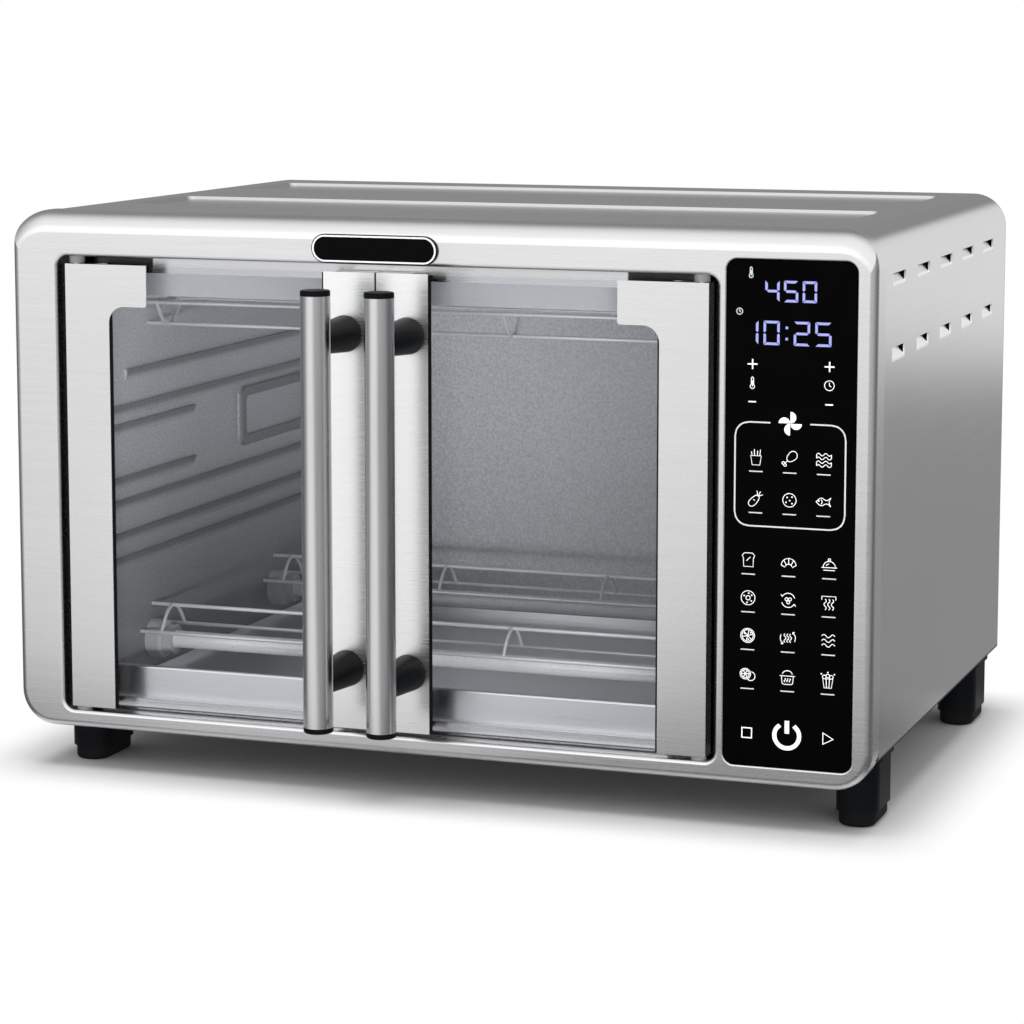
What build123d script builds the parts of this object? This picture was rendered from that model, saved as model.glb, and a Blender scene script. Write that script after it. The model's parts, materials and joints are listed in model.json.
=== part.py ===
from build123d import *
import os
from math import cos, hypot, radians, sin

# A countertop toaster oven with two glazed doors that one pull opens together.
# Millimetres. +X is right as seen from the front, +Y is towards the rear, +Z is up.
# The origin is on the table, below the middle of the overall box.
# Depths are measured back from the fascia's front plane.

# Overall body
BODY_WIDTH = 490.0
BODY_HEIGHT = 290.0
BODY_DEPTH = 338.0
FASCIA_LIFT = 24.0  # fascia's lower edge above the table
SIDE_LIFT = 38.0  # shell's lower edge above the table

# Fascia
FASCIA_SHEET = 1.2
FASCIA_DEPTH = 18.0
FASCIA_CORNER_R = 20.0
FASCIA_EDGE_R = 4.0  # front edge at the sides and the bottom
FASCIA_ROLL_R = 12.0  # wider roll of the front edge along the top

# Door opening in the fascia: margins to the fascia's edges, and its turned-in lip
OPENING_LEFT = 27.5
OPENING_TOP = 24.9
OPENING_BOTTOM = 10.1
OPENING_CORNER_R = 6.0
OPENING_EDGE_R = 2.0
LIP_SHEET = 2.2
LIP_DEPTH = 13.5

# Control panel: margins to the fascia's edges, and the strip between it and the doors
PANEL_WIDTH = 68.0
PANEL_RIGHT = 10.6
PANEL_TOP = 16.4
PANEL_BOTTOM = 10.3
PANEL_STRIP = 4.8
PANEL_CORNER_R = 5.5
PANEL_THICK = 3.0
PANEL_SETBACK = 0.3
PANEL_CLEARANCE = 0.3
PANEL_LIP_SHEET = 1.2
PANEL_EDGE_R = 1.0
CARRIER_OVERLAP = 1.0
CARRIER_THICK = 2.0
DISPLAY_WIDTH = 56.0
DISPLAY_HEIGHT = 40.0
DISPLAY_THICK = 5.0
DISPLAY_DROP = 10.0  # display's upper edge below the panel's
DISPLAY_CLEARANCE = 0.3
BOARD_MARGIN = 5.0  # control board's edge inside the panel's
BOARD_STANDOFF = 7.0
BOARD_THICK = 1.6
POST_DIAMETER = 6.0
CHIP_SIZE = 12.0
CHIP_THICK = 2.5

# Shell
SHELL_SHEET = 1.0
SEAM_STEP = 0.5  # shell lies this far inside the fascia's outline
SHELL_FLANGE = 12.0
RECESS_LENGTH = 423.0
RECESS_DEPTH = 1.6
RECESS_CORNER_R = 6.0
RECESS_DRAFT = 40.0
FRONT_RECESS_START = 83.0
FRONT_RECESS_WIDTH = 72.0
REAR_RECESS_START = 240.0
REAR_RECESS_WIDTH = 65.0

# Louvres pressed into the right side
LOUVRE_COUNT = 5
LOUVRE_LENGTH = 30.0
LOUVRE_HEIGHT = 7.4
LOUVRE_PRESS = 3.6
LOUVRE_PITCH = 58.3
LOUVRE_START = 36.5  # depth of the first louvre's front end
LOUVRE_ROW_DROPS = (24.5, 63.0)  # upper edges below the top of the body

# Base and rear panels
BASE_SHEET = 1.0
BASE_SLOT_LENGTH = 44.0
BASE_SLOT_WIDTH = 5.0
BASE_SLOT_PITCH_X = 62.0
BASE_SLOT_PITCH_Y = 110.0
REAR_SHEET = 1.0
VENT_LENGTH = 34.0
VENT_WIDTH = 4.0
VENT_PITCH = 10.0
VENT_ROWS = 9
VENT_DROP = 40.0  # top vent below the top of the body
SCREW_HEAD_DIAMETER = 7.0
SCREW_HEAD_HEIGHT = 2.2
SCREW_DIAMETER = 3.5
SCREW_LENGTH = 6.0
SCREW_INSET = 7.0
SCREW_FIT = 0.05

# Cord gland in the rear panel
GLAND_FLANGE = 6.0
GLAND_FLANGE_DIAMETER = 20.0
GLAND_BARREL_DIAMETER = 14.0
GLAND_BARREL_LENGTH = 10.0
GLAND_BORE = 8.0
GLAND_RISE = 30.0  # above the shell's lower edge
GLAND_INSET = 38.0  # from the right side

# Cavity: inside faces measured from the door opening's edges
CAVITY_SHEET = 1.0
CAVITY_SIDE_INSET = 20.2
CAVITY_FLOOR_RISE = 6.5
CAVITY_ROOF_DROP = 9.1
CAVITY_REAR_SPACE = 31.0  # from the cavity's back to the rear panel
FRAME_SHEET = 1.0
ROOF_VALANCE = 12.5  # turned-down front edge of the cavity roof

# Rack ribs pressed into the cavity's side walls, as heights of their middles above the floor and depths
RIB_HEIGHT = 7.0
RIB_RISE = 3.0
RIB_DRAFT = 28.0
RIB_FRONT = 22.0
RIB_REAR_MARGIN = 6.0
LONG_RIB_HEIGHTS = (158.8, 105.2, 86.4, 72.4)
TOP_RIB_HEIGHT = 178.4
TOP_RIB_START = 41.0
SHORT_RIB_HEIGHTS = (148.4, 118.1)
SHORT_RIB_END = 128.0
RIB_FRAME_START = 192.0
RIB_FRAME_BOTTOM = 117.4
RIB_FRAME_HEIGHT = 38.0
RIB_FRAME_BAND = 7.0

# Heater tubes, their insulators and wire guards
HEATER_DIAMETER = 10.0
LOWER_HEATER_RISE = 22.2  # above the cavity floor
UPPER_HEATER_DROP = 14.0  # below the cavity roof
HEATER_DEPTHS = (72.0, 244.0)
INSULATOR_DIAMETER = 22.0
INSULATOR_LENGTH = 10.0
INSULATOR_NECK_DIAMETER = 17.0
INSULATOR_NECK_LENGTH = 5.0
INSULATOR_FIT = 0.1
GUARD_WIRE = 2.2
GUARD_CLIP_WIRE = 2.0
GUARD_SPREAD = 15.5
GUARD_BASE = 6.4  # base wires beyond the heater's axis
GUARD_TIP = 20.0  # outer wire beyond the heater's axis
GUARD_CLIPS = 4
GUARD_CLIP_INSET = 13.0

# Crumb tray
TRAY_SHEET = 0.8
TRAY_CLEARANCE = 0.8
TRAY_LIP_DEPTH = 19.2  # depth of the lip's front face
TRAY_LIP_HEIGHT = 16.0
TRAY_EDGE_HEIGHT = 5.0
TRAY_REAR_CLEARANCE = 4.0
TRAY_ROLL_DIAMETER = 3.0

# Doors
DOOR_SIDE_GAP = 5.0
DOOR_TOP_GAP = 4.1
DOOR_BOTTOM_GAP = 2.2
DOOR_MEETING_GAP = 1.0
DOOR_SETBACK = 0.5
DOOR_THICK = 10.0
DOOR_SHEET = 1.0
DOOR_SWING = 100.0
END_WALL = 2.0
HINGE_STILE_WIDTH = 26.5
CENTRE_STILE_WIDTH = 29.5
HOOK_WIDTH = 22.8
HOOK_HEIGHT = 23.0
HOOK_INNER_R = 9.0
HOOK_OUTER_R = 1.5
GLASS_THICK = 4.0
GLASS_SETBACK = 2.0
GLASS_BITE = 8.0
GLASS_END_GAP = 0.5
SEAL_WALL = 2.0
SEAL_SHOW = 1.2
STILE_REAR_STEP = 5.0  # rear of a stile stops short of its front

# Door handles
HANDLE_DIAMETER = 16.0
HANDLE_WALL = 1.2
HANDLE_LENGTH = 236.0
HANDLE_REACH = 38.7  # tube's axis in front of the fascia
HANDLE_OFFSET = 18.0  # tube's axis from the doors' meeting line
HANDLE_CAP = 3.0
HANDLE_CAP_R = 1.0
HANDLE_PLUG = 8.0
HANDLE_PLUG_FIT = 0.1
STANDOFF_SPACING = 182.4
STANDOFF_BASE_DIAMETER = 20.0
STANDOFF_TIP_DIAMETER = 15.4
STANDOFF_WRAP = 4.0  # how far its tip reaches round the tube

# Hinges
PIN_DIAMETER = 4.5
PIN_HEAD = 2.0
PIN_HEAD_PLAY = 0.5
PIN_TAIL = 1.5
RUNNING_FIT = 0.05
BUSH_MARGIN = 0.15  # from the bush to the rounded edge of the door opening
BUSH_FLANGE = 0.9
HINGE_PLAY = 0.4

# Linkage above the doors
LINKAGE_SHEET = 1.2
LINKAGE_FRONT_GAP = 0.5
LINKAGE_REAR_MARGIN = 12.0
CRANK_RADIUS = 12.0
CRANK_THICK = 2.0
CRANK_TIP_DIAMETER = 9.0
CRANK_PIN_DIAMETER = 4.0
CRANK_PIN_LENGTH = 3.0
LINK_THICK = 1.5
LINK_WIDTH = 15.0
LINK_PAD = 7.0
LINK_LAYER_GAP = 0.5
LINK_SLOT_PLAY = 0.7
LINK_GUIDE_PLAY = 0.3
GUIDE_LENGTH = 10.0
GUIDE_WALL = 2.0
GUIDE_INSET = 48.0  # guides from the ends of their link
PIVOT_DIAMETER = 6.0
ROCKER_HUB_DIAMETER = 13.0

# Door magnets
MAGNET_WIDTH = 16.0
MAGNET_DEPTH = 8.0
MAGNET_HEIGHT = 8.0
MAGNET_OFFSET = 15.0

# Fan behind the right cavity wall
FAN_DEPTH = 160.0
FAN_DIAMETER = 110.0
FAN_BLADES = 8
FAN_BLADE_WIDTH = 10.0
FAN_BLADE_SHEET = 1.0
FAN_HUB_DIAMETER = 16.0
FAN_WALL_GAP = 5.0
GRILLE_RADIUS = 52.0
GRILLE_SLOT_LENGTH = 14.0
GRILLE_SLOT_WIDTH = 4.0
GRILLE_PITCH_Y = 19.0
GRILLE_PITCH_Z = 9.0
SHROUD_SIZE = 150.0
SHROUD_DEPTH = 26.0
SHROUD_SHEET = 1.0
SHROUD_CORNER_R = 12.0
SHAFT_DIAMETER = 6.0
SHAFT_HOLE = 10.0
BRACKET_WIDTH = 70.0
BRACKET_HEIGHT = 34.0
BRACKET_SHEET = 1.5
BRACKET_LEG = 10.0
MOTOR_WIDTH = 50.0
MOTOR_HEIGHT = 44.0
MOTOR_LENGTH = 28.0
MOTOR_BOSS_DIAMETER = 18.0
MOTOR_BOSS_LENGTH = 5.0
COOLING_FAN_DIAMETER = 74.0
COOLING_FAN_BLADES = 6
COOLING_FAN_WIDTH = 8.0
COOLING_FAN_GAP = 2.0
SHAFT_TAIL = 2.0

# Sensors and power board
PROBE_DIAMETER = 5.0
PROBE_REACH = 35.0
PROBE_NUT_DIAMETER = 10.0
PROBE_NUT_LENGTH = 4.0
PROBE_DEPTH = 278.0
PROBE_DROP = 26.0  # below the cavity roof
PROBE_FIT = 0.1
CUTOUT_DIAMETER = 16.0
CUTOUT_HEIGHT = 8.0
CUTOUT_FLANGE_WIDTH = 30.0
CUTOUT_FLANGE_SHEET = 1.0
POWER_BOARD_WIDTH = 70.0
POWER_BOARD_HEIGHT = 90.0
POWER_BOARD_STANDOFF = 8.0
POWER_BOARD_TOP_GAP = 40.0  # below the top of the body
POWER_BOARD_SIDE_GAP = 16.0  # inside the right side
TRANSFORMER_SIZE = 28.0
TRANSFORMER_HEIGHT = 22.0
CAPACITOR_DIAMETER = 12.0
CAPACITOR_HEIGHT = 18.0

# Badge above the doors
BADGE_WIDTH = 72.0
BADGE_HEIGHT = 15.5
BADGE_THICK = 1.5
BADGE_RISE = 0.7  # above the door opening's upper edge

# Feet
FOOT_WIDTH = 23.0
FOOT_LENGTH = 45.0
FOOT_CORNER_R = 10.5
FOOT_FLANGE = 1.5
FOOT_FLANGE_HEIGHT = 2.0
FOOT_LEFT_INSET = 18.5
FOOT_RIGHT_INSET = 2.0
FOOT_FRONT_DEPTH = 20.0
FOOT_REAR_DEPTH = 272.0
PAD_HEIGHT = 8.0
PAD_STEP = 1.5
PAD_EDGE_R = 2.5
FOOT_BORE_DIAMETER = 10.0
FOOT_BORE_DEPTH = 12.0
FOOT_SCREW_DIAMETER = 4.0
FOOT_SCREW_HEAD_DIAMETER = 8.0
FOOT_SCREW_HEAD = 3.0
FOOT_SCREW_TAIL = 5.0

# Places worked out from the sizes above
FRONT = (HANDLE_REACH + HANDLE_DIAMETER / 2 - BODY_DEPTH - GLAND_FLANGE) / 2
REAR = FRONT + BODY_DEPTH
LEFT = -BODY_WIDTH / 2
RIGHT = BODY_WIDTH / 2
TOP = FASCIA_LIFT + BODY_HEIGHT
SHELL_LEFT = LEFT + SEAM_STEP
SHELL_RIGHT = RIGHT - SEAM_STEP
SHELL_TOP = TOP - SEAM_STEP
SHELL_FRONT = FRONT + FASCIA_DEPTH
SHELL_REAR = REAR - REAR_SHEET
BASE_BOTTOM = SIDE_LIFT - BASE_SHEET

PANEL_X1 = RIGHT - PANEL_RIGHT
PANEL_X0 = PANEL_X1 - PANEL_WIDTH
PANEL_Z0 = FASCIA_LIFT + PANEL_BOTTOM
PANEL_Z1 = TOP - PANEL_TOP
PANEL_BACK = FRONT + PANEL_SETBACK + PANEL_THICK

OPEN_X0 = LEFT + OPENING_LEFT
OPEN_X1 = PANEL_X0 - PANEL_STRIP
OPEN_Z0 = FASCIA_LIFT + OPENING_BOTTOM
OPEN_Z1 = TOP - OPENING_TOP
MEETING_X = (OPEN_X0 + OPEN_X1) / 2
LIP_BACK = FRONT + LIP_DEPTH
LIP_TOP = OPEN_Z1 + LIP_SHEET
LIP_BOTTOM = OPEN_Z0 - LIP_SHEET

CAVITY_FRONT = LIP_BACK + FRAME_SHEET
CAVITY_BACK = SHELL_REAR - CAVITY_REAR_SPACE - CAVITY_SHEET
CAVITY_X0 = OPEN_X0 + CAVITY_SIDE_INSET
CAVITY_X1 = OPEN_X1 - CAVITY_SIDE_INSET
CAVITY_Z0 = OPEN_Z0 + CAVITY_FLOOR_RISE
CAVITY_Z1 = OPEN_Z1 - CAVITY_ROOF_DROP
CAVITY_TOP = CAVITY_Z1 + CAVITY_SHEET
CAVITY_SIDE = CAVITY_X1 + CAVITY_SHEET  # outside of the right wall

DOOR_X0 = OPEN_X0 + DOOR_SIDE_GAP
DOOR_X1 = MEETING_X - DOOR_MEETING_GAP / 2
DOOR_Z0 = OPEN_Z0 + DOOR_BOTTOM_GAP
DOOR_Z1 = OPEN_Z1 - DOOR_TOP_GAP
DOOR_MID_Z = (DOOR_Z0 + DOOR_Z1) / 2
DOOR_FRONT = FRONT + DOOR_SETBACK
DOOR_BACK = DOOR_FRONT + DOOR_THICK
STILE_X1 = DOOR_X0 + HINGE_STILE_WIDTH  # hinge stile's inner edge
CENTRE_X0 = DOOR_X1 - CENTRE_STILE_WIDTH  # centre stile's inner edge
GLASS_FRONT = DOOR_FRONT + GLASS_SETBACK
GLASS_BACK = GLASS_FRONT + GLASS_THICK
SEAL_BITE = GLASS_BITE + SEAL_WALL
HINGE_X = DOOR_X0 + DOOR_THICK / 2
HINGE_Y = DOOR_FRONT + DOOR_THICK / 2
PIN_HEAD_DIAMETER = DOOR_THICK - 2 * (DOOR_SHEET + PIN_HEAD_PLAY)
BUSH_DIAMETER = 2 * (HINGE_Y - FRONT - OPENING_EDGE_R - BUSH_MARGIN)
BUSH_FLANGE_DIAMETER = BUSH_DIAMETER + 2 * BUSH_FLANGE
HANDLE_X = MEETING_X - HANDLE_OFFSET
HANDLE_Y = FRONT - HANDLE_REACH

# The crank pins swing evenly to both sides of straight back over the door's travel
HALF_SWING = DOOR_SWING / 2
CRANK_SIDE = CRANK_RADIUS * sin(radians(HALF_SWING))
CRANK_MEAN = CRANK_RADIUS * (1 + cos(radians(HALF_SWING))) / 2
CRANK_DIP = CRANK_RADIUS * (1 - cos(radians(HALF_SWING))) / 2
LINKAGE_FRONT = FRONT + FASCIA_SHEET + LINKAGE_FRONT_GAP
CRANK_HUB_DIAMETER = 2 * (HINGE_Y - LINKAGE_FRONT)
LINK_FRONT_Y = HINGE_Y + CRANK_MEAN
ROCKER_Y = LINK_FRONT_Y + CRANK_MEAN
LINK_REAR_Y = ROCKER_Y + CRANK_MEAN
LINKAGE_TOP = LIP_TOP + LINKAGE_SHEET
CRANK_Z0 = LINKAGE_TOP + LINK_LAYER_GAP
CRANK_Z1 = CRANK_Z0 + CRANK_THICK
LINK_Z0 = CRANK_Z1 + LINK_LAYER_GAP
LINK_Z1 = LINK_Z0 + LINK_THICK

FAN_Y = FRONT + FAN_DEPTH
FAN_Z = (CAVITY_Z0 + CAVITY_Z1) / 2
FAN_X0 = CAVITY_SIDE + FAN_WALL_GAP
FAN_X1 = FAN_X0 + FAN_BLADE_WIDTH + FAN_BLADE_SHEET
SHROUD_BACK = CAVITY_SIDE + SHROUD_DEPTH
BRACKET_BACK = SHROUD_BACK + BRACKET_LEG + BRACKET_SHEET
MOTOR_BACK = BRACKET_BACK + MOTOR_LENGTH
COOLING_FAN_X0 = MOTOR_BACK + MOTOR_BOSS_LENGTH + COOLING_FAN_GAP
SHAFT_END = COOLING_FAN_X0 + COOLING_FAN_WIDTH + SHAFT_TAIL

BADGE_Z = OPEN_Z1 + BADGE_RISE + BADGE_HEIGHT / 2
FOOT_X0S = (LEFT + FOOT_LEFT_INSET, RIGHT - FOOT_RIGHT_INSET - FOOT_WIDTH)
BASE_ALIGN = (Align.CENTER, Align.CENTER, Align.MIN)


# Helpers

def block(x0, x1, y0, y1, z0, z1):
    """A box between two corners."""
    return Pos((x0 + x1) / 2, (y0 + y1) / 2, (z0 + z1) / 2) * Box(x1 - x0, y1 - y0, z1 - z0)


def facing_front(x, y, z):
    """A plane that faces the front, with its local axes along X and Z."""
    return Plane(origin=(x, y, z), x_dir=(1, 0, 0), z_dir=(0, -1, 0))


def facing_right(x, y, z):
    """A plane that faces +X, with its local axes along Y and Z."""
    return Plane(origin=(x, y, z), x_dir=(0, 1, 0), z_dir=(1, 0, 0))


def slab(x0, x1, z0, z1, radius, y0, y1):
    """An upright plate with rounded corners, from y0 back to y1."""
    plane = facing_front((x0 + x1) / 2, y0, (z0 + z1) / 2)
    return extrude(plane * RectangleRounded(x1 - x0, z1 - z0, radius), amount=y0 - y1)


def rod(start, end, diameter):
    """A round bar from one point to another."""
    line = Vector(*end) - Vector(*start)
    return Plane(origin=start, z_dir=line) * Cylinder(diameter / 2, line.length, align=BASE_ALIGN)


def post(x, y, z0, z1, diameter):
    """An upright round bar."""
    return rod((x, y, z0), (x, y, z1), diameter)


def spindle(x0, x1, y, z, diameter):
    """A round bar along X."""
    return rod((x0, y, z), (x1, y, z), diameter)


def peg(x, z, y0, y1, diameter):
    """A round bar along Y."""
    return rod((x, y0, z), (x, y1, z), diameter)


def group(pieces):
    """Separate solids in one node."""
    return Compound([piece.solid() for piece in pieces])


def mirrored(piece):
    """The other door's copy of a piece of the left door."""
    return mirror(piece, about=Plane.YZ.offset(MEETING_X))


def lever(x, y, angle, z0, hub_diameter):
    """A crank arm with its upright pin, at an angle in degrees from +X."""
    tip_x = x + CRANK_RADIUS * cos(radians(angle))
    tip_y = y + CRANK_RADIUS * sin(radians(angle))
    z1 = z0 + CRANK_THICK
    bar = Box(CRANK_RADIUS, CRANK_TIP_DIAMETER, CRANK_THICK, align=(Align.MIN, Align.CENTER, Align.MIN))
    arm = post(x, y, z0, z1, hub_diameter) + Pos(x, y, z0) * Rot(0, 0, angle) * bar
    arm += post(tip_x, tip_y, z0, z1, CRANK_TIP_DIAMETER)
    return arm + post(tip_x, tip_y, z0, z1 + CRANK_PIN_LENGTH, CRANK_PIN_DIAMETER)


# Outer body

def fascia_form(inset):
    """The fascia's form drawn in by an inset: small front edges, and a wider roll along the top."""
    x0, x1, z0, z1 = LEFT + inset, RIGHT - inset, FASCIA_LIFT + inset, TOP - inset
    y0, corner = FRONT + inset, FASCIA_CORNER_R - inset
    form = slab(x0, x1, z0, z1, corner, y0, SHELL_FRONT)
    form = fillet(form.faces().sort_by(Axis.Y)[0].edges(), FASCIA_EDGE_R - inset)
    flare = FASCIA_ROLL_R - FASCIA_EDGE_R / 2
    roll = slab(x0 - flare, x1 + flare, z0 - flare, z1, corner + flare, y0, SHELL_FRONT)
    return form & fillet(roll.faces().sort_by(Axis.Y)[0].edges(), FASCIA_ROLL_R - inset)


def door_opening():
    """The clear space inside the door opening's lip."""
    return slab(OPEN_X0, OPEN_X1, OPEN_Z0, OPEN_Z1, OPENING_CORNER_R, FRONT, LIP_BACK)


def front_fascia():
    """Drawn steel frame with rounded edges and turned-in lips round its two openings."""
    body = fascia_form(0) - fascia_form(FASCIA_SHEET)
    body += slab(OPEN_X0 - LIP_SHEET, OPEN_X1 + LIP_SHEET, LIP_BOTTOM, LIP_TOP,
                 OPENING_CORNER_R + LIP_SHEET, FRONT, LIP_BACK)
    body -= door_opening()
    gap = PANEL_CLEARANCE
    lip = gap + PANEL_LIP_SHEET
    body += slab(PANEL_X0 - lip, PANEL_X1 + lip, PANEL_Z0 - lip, PANEL_Z1 + lip,
                 PANEL_CORNER_R + lip, FRONT + FASCIA_SHEET / 2, PANEL_BACK)
    body -= slab(PANEL_X0 - gap, PANEL_X1 + gap, PANEL_Z0 - gap, PANEL_Z1 + gap,
                 PANEL_CORNER_R + gap, FRONT, PANEL_BACK)
    face = body.faces().filter_by(Axis.Y).sort_by(Axis.Y)[0]
    door_edge = face.inner_wires().sort_by(SortBy.LENGTH)[-1]
    body = fillet(door_edge.edges(), OPENING_EDGE_R)
    face = body.faces().filter_by(Axis.Y).sort_by(Axis.Y)[0]
    panel_edge = face.inner_wires().sort_by(SortBy.LENGTH)[0]
    body = fillet(panel_edge.edges(), PANEL_EDGE_R)
    hole = post(HINGE_X, HINGE_Y, LIP_BOTTOM, OPEN_Z0, BUSH_DIAMETER)
    hole += post(HINGE_X, HINGE_Y, OPEN_Z1, LIP_TOP, BUSH_DIAMETER)
    return body - hole - mirrored(hole)


def arch(inset, y0, y1, z0):
    """The shell's outline as a solid: square at the bottom, rounded at the top."""
    radius = FASCIA_CORNER_R - SEAM_STEP - inset
    x0, x1, z1 = SHELL_LEFT + inset, SHELL_RIGHT - inset, SHELL_TOP - inset
    return slab(x0, x1, z0 - 2 * radius, z1, radius, y0, y1) & block(x0, x1, y0, y1, z0, z1)


def roof_recesses(grow):
    """Drafted pockets of the two roof recesses, grown by a sheet's thickness for their underside."""
    pockets = []
    for start, width in ((FRONT_RECESS_START, FRONT_RECESS_WIDTH), (REAR_RECESS_START, REAR_RECESS_WIDTH)):
        plane = Plane(origin=(0, FRONT + start + width / 2, SHELL_TOP - grow))
        outline = RectangleRounded(RECESS_LENGTH + 2 * grow, width + 2 * grow, RECESS_CORNER_R + grow)
        pockets.append(extrude(plane * outline, amount=-RECESS_DEPTH, taper=RECESS_DRAFT))
    return pockets


def louvre_prism(y0, y1, z1, grow):
    """A wedge pressed into the right side, deepest along its upper edge."""
    corners = ((0, 0), (0, -LOUVRE_HEIGHT - grow), (-LOUVRE_PRESS - grow, 0))
    plane = facing_front(SHELL_RIGHT, y0, z1)
    return extrude(plane * make_face(Polyline(*corners, close=True)), amount=y0 - y1)


def outer_shell():
    """One sheet bent over both sides and the roof; its louvres are open above and behind."""
    sheet = SHELL_SHEET
    body = arch(0, SHELL_FRONT, SHELL_REAR, SIDE_LIFT)
    hollow = arch(sheet, SHELL_FRONT, SHELL_REAR - sheet, SIDE_LIFT + sheet)
    for outside, inside in zip(roof_recesses(0), roof_recesses(sheet)):
        body -= outside
        hollow -= inside
    body -= hollow
    body -= block(SHELL_LEFT + SHELL_FLANGE, SHELL_RIGHT - SHELL_FLANGE,
                  SHELL_FRONT, SHELL_REAR, SIDE_LIFT, SIDE_LIFT + sheet)
    body -= arch(SHELL_FLANGE, SHELL_REAR - sheet, SHELL_REAR, SIDE_LIFT)
    for drop in LOUVRE_ROW_DROPS:
        for index in range(LOUVRE_COUNT):
            y0 = FRONT + LOUVRE_START + index * LOUVRE_PITCH
            y1 = y0 + LOUVRE_LENGTH
            body += louvre_prism(y0 - sheet, y1, TOP - drop, sheet)
            body -= louvre_prism(y0, y1, TOP - drop, 0)
    for x, y in foot_screw_places():
        body -= post(x, y, SIDE_LIFT, SIDE_LIFT + sheet, FOOT_SCREW_DIAMETER + 2 * SCREW_FIT)
    for x, z in rear_screw_places():
        body -= peg(x, z, SHELL_REAR - sheet, SHELL_REAR, SCREW_DIAMETER + 2 * SCREW_FIT)
    return body


def rear_screw_places():
    """Screw places round the rear panel, on the shell's rear flange."""
    sides = (SHELL_LEFT + SCREW_INSET, SHELL_RIGHT - SCREW_INSET)
    low = SIDE_LIFT + SHELL_FLANGE
    high = SHELL_TOP - FASCIA_CORNER_R - SCREW_INSET
    edge = [(x, z) for x in sides for z in (low, (low + high) / 2, high)]
    return edge + [(x, SHELL_TOP - SCREW_INSET) for x in (SHELL_LEFT / 2, SHELL_RIGHT / 2)]


def rear_panel():
    """Flat sheet that closes the rear, with vent slots and the gland's hole."""
    panel = arch(0, SHELL_REAR, REAR, BASE_BOTTOM)
    slot = Plane(origin=(0, 0, 0), x_dir=(1, 0, 0), z_dir=(0, -1, 0)) * SlotOverall(VENT_LENGTH, VENT_WIDTH)
    for column in (-1, 0, 1):
        for row in range(VENT_ROWS):
            x = MEETING_X + column * (VENT_LENGTH + VENT_PITCH)
            z = TOP - VENT_DROP - row * VENT_PITCH
            panel -= extrude(Pos(x, SHELL_REAR, z) * slot, amount=-REAR_SHEET)
    for x, z in rear_screw_places():
        panel -= peg(x, z, SHELL_REAR, REAR, SCREW_DIAMETER + 2 * SCREW_FIT)
    x, z = gland_place()
    return panel - peg(x, z, SHELL_REAR, REAR, GLAND_BARREL_DIAMETER + 2 * SCREW_FIT)


def rear_screws():
    """Pan-head screws that hold the rear panel to the shell's flange."""
    screws = []
    for x, z in rear_screw_places():
        head = fillet(peg(x, z, REAR, REAR + SCREW_HEAD_HEIGHT, SCREW_HEAD_DIAMETER)
                      .edges().sort_by(Axis.Y)[-1], SCREW_HEAD_HEIGHT / 2)
        screws.append(head + peg(x, z, REAR - SCREW_LENGTH, REAR, SCREW_DIAMETER))
    return group(screws)


def gland_place():
    """X and Z of the cord gland."""
    return SHELL_RIGHT - GLAND_INSET, SIDE_LIFT + GLAND_RISE


def cord_gland():
    """Bush in the rear panel where the mains lead goes in."""
    x, z = gland_place()
    gland = peg(x, z, REAR, REAR + GLAND_FLANGE, GLAND_FLANGE_DIAMETER)
    gland = fillet(gland.edges().sort_by(Axis.Y)[-1], GLAND_FLANGE / 3)
    gland += peg(x, z, REAR - GLAND_BARREL_LENGTH, REAR, GLAND_BARREL_DIAMETER)
    return gland - peg(x, z, REAR - GLAND_BARREL_LENGTH, REAR + GLAND_FLANGE, GLAND_BORE)


def foot_screw_places():
    """Middle of each foot in plan."""
    return [(x0 + FOOT_WIDTH / 2, FRONT + depth + FOOT_LENGTH / 2)
            for depth in (FOOT_FRONT_DEPTH, FOOT_REAR_DEPTH) for x0 in FOOT_X0S]


def base_panel():
    """Flat sheet under the shell, with slots below the cavity and a tongue to the cavity's frame."""
    panel = block(SHELL_LEFT, SHELL_RIGHT, SHELL_FRONT, SHELL_REAR, BASE_BOTTOM, SIDE_LIFT)
    corner = FASCIA_CORNER_R / 2
    panel += block(LEFT + corner, RIGHT - corner, CAVITY_FRONT, SHELL_FRONT, BASE_BOTTOM, SIDE_LIFT)
    middle_y = (CAVITY_FRONT + CAVITY_BACK) / 2
    for x_step in (-2, -1, 0, 1, 2):
        for y_step in (-1, 0, 1):
            x = MEETING_X + x_step * BASE_SLOT_PITCH_X
            y = middle_y + y_step * BASE_SLOT_PITCH_Y
            slot = Pos(x, y, BASE_BOTTOM) * SlotOverall(BASE_SLOT_LENGTH, BASE_SLOT_WIDTH)
            panel -= extrude(slot, amount=BASE_SHEET)
    for x, y in foot_screw_places():
        panel -= post(x, y, BASE_BOTTOM, SIDE_LIFT, FOOT_SCREW_DIAMETER + 2 * SCREW_FIT)
    return panel


def foot(x, y):
    """One moulded foot, flanged under the base and bored for its screw."""
    column = RectangleRounded(FOOT_WIDTH, FOOT_LENGTH, FOOT_CORNER_R)
    flange = RectangleRounded(FOOT_WIDTH + 2 * FOOT_FLANGE, FOOT_LENGTH + 2 * FOOT_FLANGE,
                              FOOT_CORNER_R + FOOT_FLANGE)
    body = extrude(Pos(x, y, PAD_HEIGHT) * column, amount=BASE_BOTTOM - PAD_HEIGHT)
    body += extrude(Pos(x, y, BASE_BOTTOM) * flange, amount=-FOOT_FLANGE_HEIGHT)
    body -= post(x, y, PAD_HEIGHT, BASE_BOTTOM, FOOT_SCREW_DIAMETER + 2 * SCREW_FIT)
    return body - post(x, y, PAD_HEIGHT, PAD_HEIGHT + FOOT_BORE_DEPTH, FOOT_BORE_DIAMETER)


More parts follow.
